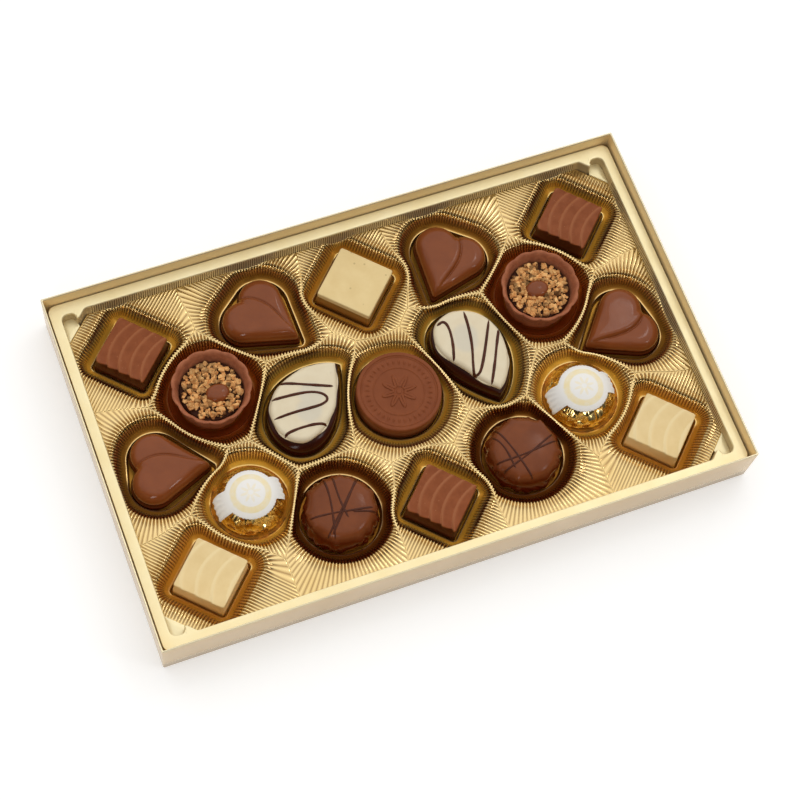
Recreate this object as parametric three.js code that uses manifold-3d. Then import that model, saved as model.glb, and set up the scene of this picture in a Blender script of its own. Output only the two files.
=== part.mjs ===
// Open gift box of assorted chocolates: a folded carton tray, a thermoformed insert with one shaped
// pocket for each praline, and nineteen pralines that lift straight out of their pockets.
// Millimetres, +Z up. The origin lies under the middle of the carton floor and +X runs along the long side.
import * as THREE from 'three';
import { mergeVertices } from 'three/addons/utils/BufferGeometryUtils.js';
import Module from 'manifold-3d';

// Square pralines
const SQUARE_SIDE = 25.4;
const WHITE_SQUARE_SIDE = 27.5;
const SQUARE_HEIGHT = 12;
const SQUARE_DRAFT = 0.5;
const MILK_WAVE_COUNT = 4;
const MILK_WAVE_DEPTH = 0.7;
const CREAM_WAVE_COUNT = 3;
const CREAM_WAVE_DEPTH = 0.35;
const WAVE_BEND = 3.2;

// Heart pralines: two lapped leaves on a stepped foot
const HEART_LENGTH = 37.4;
const HEART_WIDTH = 35;
const HEART_LOBE_RADIUS = 12;
const HEART_HEIGHT = 12;
const HEART_FOOT_HEIGHT = 3;
const HEART_FOOT_STEP = 0.7;
const HEART_LAP = 1.4;

// Round medallion
const MEDALLION_DIAMETER = 39.6;
const MEDALLION_THICKNESS = 10.5;
const MEDALLION_BORDER = 2.6;
const MEDALLION_RELIEF = 0.5;
const MEDALLION_ROSETTE_DIAMETER = 18;
const ROSETTE_PETALS = 8;

// Petal pralines: a tall dark base with a flat white coat on top
const PETAL_LENGTH = 48.4;
const PETAL_STRAIGHT_SIDE = 18.2;
const PETAL_ROUND_SIDE = 21.6;
const PETAL_BASE_HEIGHT = 8.8;
const PETAL_BASE_DRAFT = 1.1;
const PETAL_COAT_HEIGHT = 3.4;
const PETAL_COAT_INSET = 1.7;

// Truffles
const TRUFFLE_DIAMETER = 35.5;
const TRUFFLE_HEIGHT = 15.2;
const TRUFFLE_BUMP = 0.55;

// Nut cups: a scalloped cup, a filling, chopped nuts and a button
const CUP_DIAMETER = 37;
const CUP_FOOT_DIAMETER = 29;
const CUP_HEIGHT = 16.3;
const CUP_WALL = 2.2;
const CUP_FLOOR = 2.5;
const CUP_SCALLOPS = 13;
const CUP_SCALLOP_DEPTH = 0.5;
const FILLING_HEIGHT = 7.4;
const NUT_LAYER = 1.2;
const NUT_LUMP = 1.6;
const BUTTON_DIAMETER = 9.4;
const BUTTON_HEIGHT = 3.6;

// Foil balls: a chocolate ball, its foil and a paper label
const BALL_DIAMETER = 33;
const BALL_HEIGHT = 16.4;
const BALL_FOOT_DIAMETER = 21;
const FOIL_THICKNESS = 0.5;
const FOIL_CRINKLE = 0.35;
const FOIL_CRINKLE_COUNT = 8;
const FOIL_MOUTH_DIAMETER = 9;
const LABEL_DIAMETER = 24;
const LABEL_TAIL_WIDTH = 11;
const LABEL_TAIL_REACH = 19;
const LABEL_THICKNESS = 0.35;

// Thermoformed insert
const SHEET = 0.5;
const POCKET_DEPTH = 10.5;
const FUNNEL_WIDTH = 6.2;
const SHELF_CLEARANCE = 2.6;
const FLOOR_CLEARANCE = 1.2;
const SHELF_HEIGHT = 5;
const RIDGE_WIDTH = 0.9;
const FLUTE_STEP = 0.3;
const WALL_RISE = 6.5;
const WALL_DRAFT = 1;
const RIM_WIDTH = 5;
const RIM_CORNER_RADIUS = 3.5;
const CORNER_CHAMFER = 12.5;
const RECESS_WIDTH = 6.4;
const RECESS_LENGTH = 13;
const RECESS_RADIUS = 3;
const RECESS_LIFT = 1;
const MEDALLION_POCKET_LIFT = 2;

// Carton
const BOARD = 0.9;
const CARTON_RISE = 7.4;
const CARTON_LEAN = 0.65;

// Moulded edges and fits
const MOULD_EDGE = 0.5;
const SEAT = 0.3;
const RIM_CLEARANCE = 0.8;
const POCKET_GAP = 3.5;
const END_MARGIN = 6.5;
const SIDE_MARGIN = 5.1;

// Turns and row offsets of the pralines
const SQUARE_TURN = Math.PI / 4;
const BACK_HEART_TURN = THREE.MathUtils.degToRad(-51);
const SIDE_HEART_TURN = THREE.MathUtils.degToRad(-14);
const LEFT_PETAL_TURN = THREE.MathUtils.degToRad(41);
const RIGHT_PETAL_TURN = THREE.MathUtils.degToRad(-76);
const CUP_ROW_DROP = 2.4;
const MIDDLE_ROW = -2;
const BACK_HEART_DROP = 3.2;
const SIDE_HEART_DROP = 0.4;
const PETAL_ROW_LIFT = 7.7;
const PETAL_DRAW_IN = 5.5;
const TRUFFLE_ROW_LIFT = 9.6;

// Heights, from the table upwards
const INSERT_FOOT = BOARD + SEAT;
const POCKET_FLOOR = INSERT_FOOT + SHEET;
const PRALINE_SEAT = POCKET_FLOOR + SEAT;
const LAND = POCKET_FLOOR + POCKET_DEPTH;
const RIM = LAND + WALL_RISE;
const CARTON_HEIGHT = RIM + CARTON_RISE;

// The pralines set the spacing of the pockets: neighbours on the diagonals keep the pocket gap
const LATTICE = (Math.max(CUP_DIAMETER, BALL_DIAMETER) / 2 + HEART_WIDTH / 2 + POCKET_GAP) / Math.SQRT2;
const BACK_ROW = 2 * LATTICE;
const INNER_COLUMN = (MEDALLION_DIAMETER + PETAL_LENGTH) / 2;
const PETAL_COLUMN = INNER_COLUMN - PETAL_DRAW_IN;
const CUP_COLUMN = INNER_COLUMN + (CUP_DIAMETER + HEART_WIDTH) / 2;
const OUTER_COLUMN = CUP_COLUMN + LATTICE;

// The pockets set the land, and the land sets the rim and the carton around it
const SQUARE_REACH = SQUARE_SIDE / Math.SQRT2;
const LAND_HALF_LENGTH = OUTER_COLUMN + SQUARE_REACH + END_MARGIN;
const LAND_HALF_WIDTH = BACK_ROW + SQUARE_REACH + SIDE_MARGIN;
const RIM_MARGIN = WALL_DRAFT + RIM_WIDTH;
const CARTON_MARGIN = RIM_MARGIN + RIM_CLEARANCE + BOARD;

const wasm = await Module();
wasm.setup();

// A closed mesh as a solid for joining and cutting
function solidFrom(geometry) {
  const bare = geometry.clone();
  bare.deleteAttribute('normal');
  bare.deleteAttribute('uv');
  const merged = mergeVertices(bare, 1e-5);
  const mesh = new wasm.Mesh({
    numProp: 3,
    vertProperties: new Float32Array(merged.attributes.position.array),
    triVerts: new Uint32Array(merged.index.array),
  });
  return new wasm.Manifold(mesh);
}

// A solid back as geometry
function geometryFrom(solid) {
  const mesh = solid.getMesh();
  const geometry = new THREE.BufferGeometry();
  geometry.setAttribute('position', new THREE.BufferAttribute(mesh.vertProperties, 3));
  geometry.setIndex(new THREE.BufferAttribute(mesh.triVerts, 1));
  geometry.computeVertexNormals();
  return geometry;
}

// One solid from several
function join(geometries) {
  return geometries.map(solidFrom).reduce((whole, piece) => whole.add(piece));
}

// A closed body through rings of equal point counts, capped by fans at both ends
function loft(rings, lowCentre, highCentre) {
  const count = rings[0].length;
  const points = [...rings.flat(), lowCentre, highCentre];
  const low = rings.length * count;
  const high = low + 1;
  const index = [];
  for (let k = 0; k < count; k += 1) {
    const next = (k + 1) % count;
    for (let row = 0; row < rings.length - 1; row += 1) {
      const base = row * count;
      const above = base + count;
      index.push(base + k, base + next, above + next, base + k, above + next, above + k);
    }
    const top = low - count;
    index.push(low, next, k, high, top + k, top + next);
  }
  const geometry = new THREE.BufferGeometry().setFromPoints(points);
  geometry.setIndex(index);
  geometry.computeVertexNormals();
  return geometry;
}

// A closed band through rings of equal point counts, the last ring joined to the first
function band(rings) {
  const count = rings[0].length;
  const index = [];
  rings.forEach((_, row) => {
    const base = row * count;
    const above = ((row + 1) % rings.length) * count;
    for (let k = 0; k < count; k += 1) {
      const next = (k + 1) % count;
      index.push(base + k, base + next, above + next, base + k, above + next, above + k);
    }
  });
  const geometry = new THREE.BufferGeometry().setFromPoints(rings.flat());
  geometry.setIndex(index);
  geometry.computeVertexNormals();
  return geometry;
}

// The mean of a ring's points
const centreOf = (ring) => ring
  .reduce((sum, point) => sum.add(point), new THREE.Vector3())
  .divideScalar(ring.length);

// A ring of points at one height, its radius a function of the angle
function polarRing(radius, height, count, start = 0) {
  return Array.from({ length: count }, (_, k) => {
    const angle = start + (2 * Math.PI * k) / count;
    const reach = radius(angle);
    return new THREE.Vector3(reach * Math.cos(angle), reach * Math.sin(angle), height);
  });
}

// A loft of polar rings about the local Z axis; each level is a pair of a radius function and a height
function polarLoft(levels, count, lowHeight, highHeight) {
  const rings = levels.map(([radius, height]) => polarRing(radius, height, count));
  return loft(rings, new THREE.Vector3(0, 0, lowHeight), new THREE.Vector3(0, 0, highHeight));
}

// A revolved body whose profile starts and ends on the axis
function lathe(profile, segments) {
  const points = profile.map(([radius, height]) => new THREE.Vector2(radius, height));
  return new THREE.LatheGeometry(points, segments).rotateX(Math.PI / 2);
}

// Angle of a square's corner from its flat side
const SQUARE_CORNER = Math.PI / 4;

// Outline of a square with slightly eased corners, flat sides facing the local axes
function squareRadius(side) {
  const power = 14;
  return (angle) => {
    const across = Math.abs(Math.cos(angle)) ** power;
    const along = Math.abs(Math.sin(angle)) ** power;
    return side / 2 / (across + along) ** (1 / power);
  };
}

// Outline of a circle hulled with a point at a distance along angle 0
function dropRadius(radius, reach) {
  const touch = Math.acos(radius / reach);
  return (angle) => {
    const turn = Math.abs(Math.atan2(Math.sin(angle), Math.cos(angle)));
    return turn < touch ? radius / Math.cos(touch - turn) : radius;
  };
}

// The heart's lobes: circle centres and their reach to the tip, the tip on the local +X axis
const LOBE_X = HEART_LOBE_RADIUS - HEART_LENGTH / 2;
const LOBE_Y = HEART_WIDTH / 2 - HEART_LOBE_RADIUS;
const LOBE_TO_TIP = Math.hypot(HEART_LENGTH / 2 - LOBE_X, LOBE_Y);
const LOBE_LEAN = Math.atan2(LOBE_Y, HEART_LENGTH / 2 - LOBE_X);

// Outline of the heart: straight sides from the tip that run into two lobe arcs
function heartRadius(angle) {
  const turn = Math.abs(Math.atan2(Math.sin(angle), Math.cos(angle)));
  const normal = Math.PI / 2 - LOBE_LEAN - Math.asin(HEART_LOBE_RADIUS / LOBE_TO_TIP);
  const touchX = LOBE_X + HEART_LOBE_RADIUS * Math.cos(normal);
  const touchY = LOBE_Y + HEART_LOBE_RADIUS * Math.sin(normal);
  if (turn < Math.atan2(touchY, touchX)) {
    return ((HEART_LENGTH / 2) * Math.cos(normal)) / Math.cos(turn - normal);
  }
  const lobeReach = Math.hypot(LOBE_X, LOBE_Y);
  const offset = turn - Math.atan2(LOBE_Y, LOBE_X);
  const side = lobeReach * Math.sin(offset);
  return lobeReach * Math.cos(offset) + Math.sqrt(HEART_LOBE_RADIUS ** 2 - side ** 2);
}

// The petal's outline: a drop with a straighter right side, its tip on the local +X axis
function petalPoint(t) {
  const straight = t < Math.PI;
  const swell = Math.sin(t / 2) ** (straight ? 1 : 0.35);
  const half = straight ? PETAL_STRAIGHT_SIDE : PETAL_ROUND_SIDE;
  return new THREE.Vector2((PETAL_LENGTH / 2) * Math.cos(t), -half * Math.sin(t) * swell);
}

// Radius of the petal by angle, read off its outline
const petalTrace = Array.from({ length: 721 }, (_, k) => petalPoint((k * Math.PI) / 360));
function petalRadius(angle) {
  const ray = new THREE.Vector2(Math.cos(angle), Math.sin(angle));
  for (let k = 0; k < petalTrace.length - 1; k += 1) {
    const from = petalTrace[k];
    const to = petalTrace[k + 1];
    const first = ray.cross(from);
    const second = ray.cross(to);
    if (first * second <= 0 && first !== second) {
      const hit = from.clone().lerp(to, first / (first - second));
      if (hit.dot(ray) > 0) return hit.dot(ray);
    }
  }
  return PETAL_LENGTH / 2;
}

const circleRadius = (diameter) => () => diameter / 2;
const inset = (radius, depth) => (angle) => Math.max(radius(angle) - depth, MOULD_EDGE);

// A square praline with a top that rolls in bent waves, seen as a scalloped edge on its -X side
function waveSquare(side, waveCount, waveDepth) {
  const across = 3;
  const along = waveCount > 0 ? waveCount * 4 : 2;
  const half = side / 2 - SQUARE_DRAFT;
  const top = (u, v) => {
    const phase = v + (WAVE_BEND / side) * u * u;
    const roll = waveCount > 0 ? Math.cos(Math.PI * waveCount * phase) : 1;
    return new THREE.Vector3(u * half, v * half, SQUARE_HEIGHT - (waveDepth * (1 - roll)) / 2);
  };
  const points = [];
  for (let j = 0; j <= along; j += 1) {
    for (let i = 0; i <= across; i += 1) points.push(top((2 * i) / across - 1, (2 * j) / along - 1));
  }
  const at = (i, j) => j * (across + 1) + i;
  const index = [];
  for (let j = 0; j < along; j += 1) {
    for (let i = 0; i < across; i += 1) {
      index.push(at(i, j), at(i + 1, j), at(i + 1, j + 1), at(i, j), at(i + 1, j + 1), at(i, j + 1));
    }
  }
  const edge = [];
  for (let i = 0; i < across; i += 1) edge.push(at(i, 0));
  for (let j = 0; j < along; j += 1) edge.push(at(across, j));
  for (let i = across; i > 0; i -= 1) edge.push(at(i, along));
  for (let j = along; j > 0; j -= 1) edge.push(at(0, j));
  const foot = points.length;
  const flare = side / 2 / half;
  edge.forEach((k) => points.push(new THREE.Vector3(points[k].x * flare, points[k].y * flare, 0)));
  const centre = points.length;
  points.push(new THREE.Vector3(0, 0, 0));
  edge.forEach((k, n) => {
    const next = (n + 1) % edge.length;
    index.push(foot + n, foot + next, edge[next], foot + n, edge[next], k, centre, foot + next, foot + n);
  });
  const geometry = new THREE.BufferGeometry().setFromPoints(points);
  geometry.setIndex(index);
  geometry.computeVertexNormals();
  return geometry;
}

// One leaf of the heart: a domed drop about its lobe centre, turned so that it points at the tip
function heartLeaf(side, height) {
  const outline = inset(dropRadius(HEART_LOBE_RADIUS, LOBE_TO_TIP), HEART_FOOT_STEP);
  const low = HEART_FOOT_HEIGHT / 2;
  const levels = [
    [outline, low],
    [inset(outline, height * 0.01), height * 0.68],
    [inset(outline, height * 0.2), height * 0.94],
  ];
  const leaf = polarLoft(levels, 16, low, height);
  leaf.rotateZ(-side * LOBE_LEAN);
  return leaf.translate(LOBE_X, side * LOBE_Y, 0);
}

// The leaf on the local -Y side is the higher one and laps over the other
function heart() {
  const levels = [
    [inset(heartRadius, MOULD_EDGE), 0],
    [heartRadius, MOULD_EDGE],
    [heartRadius, HEART_FOOT_HEIGHT - MOULD_EDGE],
    [inset(heartRadius, MOULD_EDGE), HEART_FOOT_HEIGHT],
  ];
  const foot = polarLoft(levels, 20, 0, HEART_FOOT_HEIGHT);
  return geometryFrom(join([foot, heartLeaf(-1, HEART_HEIGHT), heartLeaf(1, HEART_HEIGHT - HEART_LAP)]));
}

function medallion() {
  const outer = MEDALLION_DIAMETER / 2;
  const top = MEDALLION_THICKNESS;
  const field = top - MEDALLION_RELIEF;
  const rosette = MEDALLION_ROSETTE_DIAMETER / 2;
  const petals = (reach) => (angle) => reach * (0.82 + 0.18 * Math.cos(ROSETTE_PETALS * angle));
  const sunk = field - MEDALLION_RELIEF / 2;
  const body = lathe([
    [0, 0],
    [outer - MOULD_EDGE, 0],
    [outer, MOULD_EDGE],
    [outer - MOULD_EDGE / 2, top - MOULD_EDGE],
    [outer - MOULD_EDGE, top],
    [outer - MEDALLION_BORDER, top],
    [outer - MEDALLION_BORDER - MEDALLION_RELIEF, field],
    [0, field],
  ], 28);
  const levels = [
    [petals(rosette), sunk],
    [petals(rosette - MEDALLION_RELIEF), top],
  ];
  return geometryFrom(join([body, polarLoft(levels, 4 * ROSETTE_PETALS, sunk, top)]));
}

function petalBase() {
  const levels = [
    [inset(petalRadius, MOULD_EDGE), 0],
    [petalRadius, MOULD_EDGE],
    [inset(petalRadius, PETAL_BASE_DRAFT), PETAL_BASE_HEIGHT],
  ];
  return polarLoft(levels, 18, 0, PETAL_BASE_HEIGHT);
}

function petalCoat() {
  const foot = PETAL_BASE_HEIGHT + SEAT;
  const top = foot + PETAL_COAT_HEIGHT;
  const outline = inset(petalRadius, PETAL_COAT_INSET);
  const levels = [
    [outline, foot],
    [outline, foot + PETAL_COAT_HEIGHT * 0.4],
    [inset(outline, PETAL_COAT_HEIGHT * 0.12), foot + PETAL_COAT_HEIGHT * 0.7],
    [inset(outline, PETAL_COAT_HEIGHT * 0.4), foot + PETAL_COAT_HEIGHT * 0.9],
    [inset(outline, PETAL_COAT_HEIGHT), foot + PETAL_COAT_HEIGHT * 0.97],
  ];
  return polarLoft(levels, 18, foot, top);
}

function truffle() {
  const outline = (share, lift) => (angle) => {
    const bump = Math.sin(5 * angle + lift) + 0.6 * Math.sin(9 * angle - 2 * lift);
    return (TRUFFLE_DIAMETER / 2 - 1.6 * TRUFFLE_BUMP) * share + TRUFFLE_BUMP * bump;
  };
  const levels = [
    [outline(0.94, 0), 0],
    [outline(1, 1), TRUFFLE_HEIGHT * 0.12],
    [outline(0.98, 2), TRUFFLE_HEIGHT * 0.5],
    [outline(0.9, 3), TRUFFLE_HEIGHT * 0.78],
    [outline(0.7, 4), TRUFFLE_HEIGHT * 0.94],
    [outline(0.36, 5), TRUFFLE_HEIGHT * 0.99],
  ];
  return polarLoft(levels, 18, 0, TRUFFLE_HEIGHT);
}

// Radius of the cup's outside at a height
const cupRadiusAt = (height) => (
  THREE.MathUtils.lerp(CUP_FOOT_DIAMETER, CUP_DIAMETER, height / CUP_HEIGHT) / 2);

function cupShell() {
  const scalloped = (reach, depth) => (angle) => (
    reach - depth * (0.5 + 0.5 * Math.cos(CUP_SCALLOPS * angle)));
  const shoulder = CUP_HEIGHT - MOULD_EDGE;
  const levels = [
    [scalloped(CUP_FOOT_DIAMETER / 2, CUP_SCALLOP_DEPTH), 0],
    [scalloped(cupRadiusAt(shoulder), CUP_SCALLOP_DEPTH), shoulder],
    [scalloped(CUP_DIAMETER / 2 - MOULD_EDGE, CUP_SCALLOP_DEPTH), CUP_HEIGHT],
    [scalloped(CUP_DIAMETER / 2 - CUP_WALL, CUP_SCALLOP_DEPTH), shoulder],
    [scalloped(cupRadiusAt(CUP_FLOOR) - CUP_WALL, 0), CUP_FLOOR],
  ];
  return polarLoft(levels, CUP_SCALLOPS * 3, 0, CUP_FLOOR);
}

const FILLING_FOOT = CUP_FLOOR + SEAT;
const FILLING_TOP = FILLING_FOOT + FILLING_HEIGHT;
const CUP_BORE = (height) => cupRadiusAt(height) - CUP_WALL - CUP_SCALLOP_DEPTH - SEAT;

function cupFilling() {
  return lathe([
    [0, FILLING_FOOT],
    [CUP_BORE(FILLING_FOOT), FILLING_FOOT],
    [CUP_BORE(FILLING_TOP), FILLING_TOP],
    [0, FILLING_TOP],
  ], 16);
}

// Chopped nuts pressed into one ring round the button, its top uneven from nut to nut
function cupNuts() {
  const low = FILLING_TOP + SEAT;
  const outer = CUP_BORE(low + NUT_LAYER);
  const inner = BUTTON_DIAMETER / 2 + SEAT;
  const count = 16;
  const lump = (row, k) => (
    NUT_LUMP * (0.5 + 0.25 * Math.sin(7 * k + 3 * row) + 0.25 * Math.cos(11 * k - 5 * row)));
  const circle = (share, height) => {
    const reach = THREE.MathUtils.lerp(inner, outer, share);
    return polarRing(circleRadius(2 * reach), height, count);
  };
  const tops = [0.97, 0.7, 0.35, 0.03].map((share, row) => {
    const ring = circle(share, low + NUT_LAYER);
    ring.forEach((point, k) => point.setZ(point.z + lump(row, k)));
    return ring;
  });
  const high = low + NUT_LAYER;
  return band([circle(0, low), circle(1, low), circle(1, high), ...tops, circle(0, high)]);
}

function cupButton() {
  const low = FILLING_TOP + SEAT;
  const reach = BUTTON_DIAMETER / 2;
  return lathe([
    [0, low],
    [reach - MOULD_EDGE, low],
    [reach, low + BUTTON_HEIGHT * 0.45],
    [reach * 0.75, low + BUTTON_HEIGHT * 0.85],
    [reach * 0.35, low + BUTTON_HEIGHT],
    [0, low + BUTTON_HEIGHT],
  ], 12);
}

// The foil ball's outer profile as a curve from the top of the axis to the foot
const ballProfile = new THREE.CatmullRomCurve3([
  new THREE.Vector3(0, 0, BALL_HEIGHT),
  new THREE.Vector3(BALL_DIAMETER * 0.22, 0, BALL_HEIGHT * 0.965),
  new THREE.Vector3(BALL_DIAMETER * 0.385, 0, BALL_HEIGHT * 0.8),
  new THREE.Vector3(BALL_DIAMETER * 0.495, 0, BALL_HEIGHT * 0.42),
  new THREE.Vector3(BALL_DIAMETER * 0.44, 0, BALL_HEIGHT * 0.13),
  new THREE.Vector3(BALL_FOOT_DIAMETER / 2, 0, 0),
]);
const BALL_GIRTH = ballProfile.getLength();

// A point of the profile, a distance down from the top and a depth in from the surface
function ballPoint(distance, depth) {
  const share = Math.min(distance / BALL_GIRTH, 1);
  const point = ballProfile.getPointAt(share);
  const slope = ballProfile.getTangentAt(share);
  return new THREE.Vector2(Math.max(point.x + depth * slope.z, 0), point.z - depth * slope.x);
}

// The profile's points at equal steps from the top, a depth in from the surface
function ballSteps(depth) {
  const steps = 6;
  return Array.from({ length: steps }, (_, k) => {
    const point = ballPoint((BALL_GIRTH * (k + 1)) / steps, depth);
    return new THREE.Vector2(point.x, Math.max(point.y, depth));
  });
}

const FOIL_DEPTH = FOIL_THICKNESS + FOIL_CRINKLE;
const FOIL_SEGMENTS = 2 * FOIL_CRINKLE_COUNT;

function ballCore() {
  const depth = FOIL_DEPTH + SEAT;
  const levels = ballSteps(depth).reverse().map((point) => [circleRadius(2 * point.x), point.y]);
  return polarLoft(levels, FOIL_SEGMENTS, depth, BALL_HEIGHT - depth);
}

// The foil goes round the ball and is gathered under it, where a small mouth stays open
function ballFoil() {
  const mouth = circleRadius(FOIL_MOUTH_DIAMETER);
  const inside = ballSteps(FOIL_DEPTH).map((point) => [circleRadius(2 * point.x), point.y]);
  const outside = ballSteps(0).map((point, k) => {
    const crinkle = k < 2 ? 0 : FOIL_CRINKLE;
    const fold = (angle) => 0.5 + 0.5 * Math.cos(FOIL_CRINKLE_COUNT * angle + 0.7 * k);
    return [(angle) => point.x - crinkle * fold(angle), point.y];
  });
  const levels = [...inside, [mouth, FOIL_DEPTH], [mouth, 0], ...outside.reverse()];
  return polarLoft(levels, FOIL_SEGMENTS, BALL_HEIGHT - FOIL_DEPTH, BALL_HEIGHT);
}

// A point over the foil: a distance down from the top, a sideways offset and a lift off the surface
function labelPoint(distance, sideways, lift) {
  const point = ballPoint(distance, -lift);
  const angle = sideways / point.x;
  return new THREE.Vector3(point.x * Math.cos(angle), point.x * Math.sin(angle), point.y);
}

// The label's round middle, bent over the top of the ball
function labelDisc() {
  const steps = [1 / 2, 1];
  const ringAt = (share, lift) => {
    const point = ballPoint((share * LABEL_DIAMETER) / 2, -lift);
    return polarRing(circleRadius(2 * point.x), point.y, FOIL_SEGMENTS);
  };
  const under = steps.map((share) => ringAt(share, SEAT));
  const over = steps.toReversed().map((share) => ringAt(share, SEAT + LABEL_THICKNESS));
  const low = new THREE.Vector3(0, 0, BALL_HEIGHT + SEAT);
  return loft([...under, ...over], low, low.clone().setZ(low.z + LABEL_THICKNESS));
}

// A strip of the label that runs down one side of the ball
function labelTail(turn) {
  const start = LABEL_DIAMETER / 2 - LABEL_THICKNESS * 4;
  const half = LABEL_TAIL_WIDTH / 2;
  const rings = [0, 1 / 2, 1].map((share) => {
    const distance = THREE.MathUtils.lerp(start, LABEL_TAIL_REACH, share);
    const under = [-half, 0, half].map((sideways) => labelPoint(distance, sideways, SEAT));
    const over = [half, 0, -half].map((sideways) => labelPoint(distance, sideways, SEAT + LABEL_THICKNESS));
    return [...under, ...over];
  });
  return loft(rings, centreOf(rings[0]), centreOf(rings.at(-1))).rotateZ(turn);
}

function ballLabel() {
  return geometryFrom(join([labelDisc(), labelTail(0), labelTail(Math.PI)]));
}

const colours = {
  carton: 0xd8bf8a,
  insert: 0xd9b25c,
  milk: 0x6f4030,
  dark: 0x3a1c10,
  cream: 0xe6d3a0,
  white: 0xe8dcb6,
  ivory: 0xe6dfcf,
  nut: 0xb98848,
  praline: 0x8a5a35,
  foil: 0xcf9a2f,
  paper: 0xf1efe8,
};

function piece(name, geometry, colour, roughness, metalness = 0) {
  const material = new THREE.MeshStandardMaterial({ color: colours[colour], roughness, metalness });
  const mesh = new THREE.Mesh(geometry, material);
  mesh.name = name;
  return mesh;
}

// Each kind of praline: its outline, the pocket's points around it and its pieces
const kinds = {
  milkSquare: {
    radius: squareRadius(SQUARE_SIDE),
    count: 12,
    start: SQUARE_CORNER,
    pieces: (name) => [piece(name, waveSquare(SQUARE_SIDE, MILK_WAVE_COUNT, MILK_WAVE_DEPTH), 'milk', 0.5)],
  },
  creamSquare: {
    radius: squareRadius(SQUARE_SIDE),
    count: 12,
    start: SQUARE_CORNER,
    pieces: (name) => [
      piece(name, waveSquare(SQUARE_SIDE, CREAM_WAVE_COUNT, CREAM_WAVE_DEPTH), 'cream', 0.5),
    ],
  },
  whiteSquare: {
    radius: squareRadius(WHITE_SQUARE_SIDE),
    count: 12,
    start: SQUARE_CORNER,
    pieces: (name) => [piece(name, waveSquare(WHITE_SQUARE_SIDE, 0, 0), 'white', 0.5)],
  },
  heart: {
    radius: heartRadius,
    count: 18,
    pieces: (name) => [piece(name, heart(), 'milk', 0.3)],
  },
  medallion: {
    radius: circleRadius(MEDALLION_DIAMETER),
    count: 14,
    lift: MEDALLION_POCKET_LIFT,
    pieces: (name) => [piece(name, medallion(), 'milk', 0.45)],
  },
  petal: {
    radius: petalRadius,
    count: 16,
    pieces: (name) => [
      piece(`${name}_base`, petalBase(), 'dark', 0.35),
      piece(`${name}_coat`, petalCoat(), 'ivory', 0.35),
    ],
  },
  truffle: {
    radius: circleRadius(TRUFFLE_DIAMETER),
    count: 14,
    pieces: (name) => [piece(name, truffle(), 'milk', 0.35)],
  },
  nutCup: {
    radius: circleRadius(CUP_DIAMETER),
    foot: circleRadius(CUP_FOOT_DIAMETER),
    count: 14,
    pieces: (name) => [
      piece(`${name}_shell`, cupShell(), 'milk', 0.5),
      piece(`${name}_filling`, cupFilling(), 'praline', 0.6),
      piece(`${name}_nuts`, cupNuts(), 'nut', 0.6),
      piece(`${name}_button`, cupButton(), 'milk', 0.4),
    ],
  },
  foilBall: {
    radius: circleRadius(BALL_DIAMETER),
    foot: circleRadius(BALL_FOOT_DIAMETER),
    count: 14,
    pieces: (name) => [
      piece(`${name}_core`, ballCore(), 'milk', 0.5),
      piece(`${name}_foil`, ballFoil(), 'foil', 0.25, 1),
      piece(`${name}_label`, ballLabel(), 'paper', 0.6),
    ],
  },
};

const place = (name, kind, x, y, turn = 0) => ({ name, x, y, turn, start: 0, lift: 0, ...kinds[kind] });
const mirrored = (turn) => Math.PI - turn;

// The layout, row by row from the back; left and right mirror each other except in the petals' turn
const pralines = [
  place('square_milk_back_left', 'milkSquare', -OUTER_COLUMN, BACK_ROW, SQUARE_TURN),
  place('heart_back_left', 'heart', -INNER_COLUMN, BACK_ROW - BACK_HEART_DROP, BACK_HEART_TURN),
  place('square_white_back', 'whiteSquare', 0, BACK_ROW, SQUARE_TURN),
  place('heart_back_right', 'heart', INNER_COLUMN, BACK_ROW - BACK_HEART_DROP, mirrored(BACK_HEART_TURN)),
  place('square_milk_back_right', 'milkSquare', OUTER_COLUMN, BACK_ROW, SQUARE_TURN),
  place('nut_cup_left', 'nutCup', -CUP_COLUMN, LATTICE - CUP_ROW_DROP),
  place('nut_cup_right', 'nutCup', CUP_COLUMN, LATTICE - CUP_ROW_DROP),
  place('heart_side_left', 'heart', -OUTER_COLUMN, MIDDLE_ROW - SIDE_HEART_DROP, SIDE_HEART_TURN),
  place('petal_left', 'petal', -PETAL_COLUMN, MIDDLE_ROW + PETAL_ROW_LIFT, LEFT_PETAL_TURN),
  place('medallion', 'medallion', 0, MIDDLE_ROW),
  place('petal_right', 'petal', PETAL_COLUMN, MIDDLE_ROW + PETAL_ROW_LIFT, RIGHT_PETAL_TURN),
  place('heart_side_right', 'heart', OUTER_COLUMN, MIDDLE_ROW - SIDE_HEART_DROP, mirrored(SIDE_HEART_TURN)),
  place('foil_ball_left', 'foilBall', -CUP_COLUMN, -LATTICE),
  place('foil_ball_right', 'foilBall', CUP_COLUMN, -LATTICE),
  place('square_cream_front_left', 'creamSquare', -OUTER_COLUMN, -BACK_ROW, SQUARE_TURN),
  place('truffle_left', 'truffle', -INNER_COLUMN, TRUFFLE_ROW_LIFT - BACK_ROW),
  place('square_milk_front', 'milkSquare', 0, -BACK_ROW, SQUARE_TURN),
  place('truffle_right', 'truffle', INNER_COLUMN, TRUFFLE_ROW_LIFT - BACK_ROW),
  place('square_cream_front_right', 'creamSquare', OUTER_COLUMN, -BACK_ROW, SQUARE_TURN),
];

const outlineOf = (praline, angle) => praline.radius(angle - praline.turn);

// How far a point lies outside a praline's outline
function excess(praline, x, y) {
  const dx = x - praline.x;
  const dy = y - praline.y;
  return Math.hypot(dx, dy) - outlineOf(praline, Math.atan2(dy, dx));
}

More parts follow.
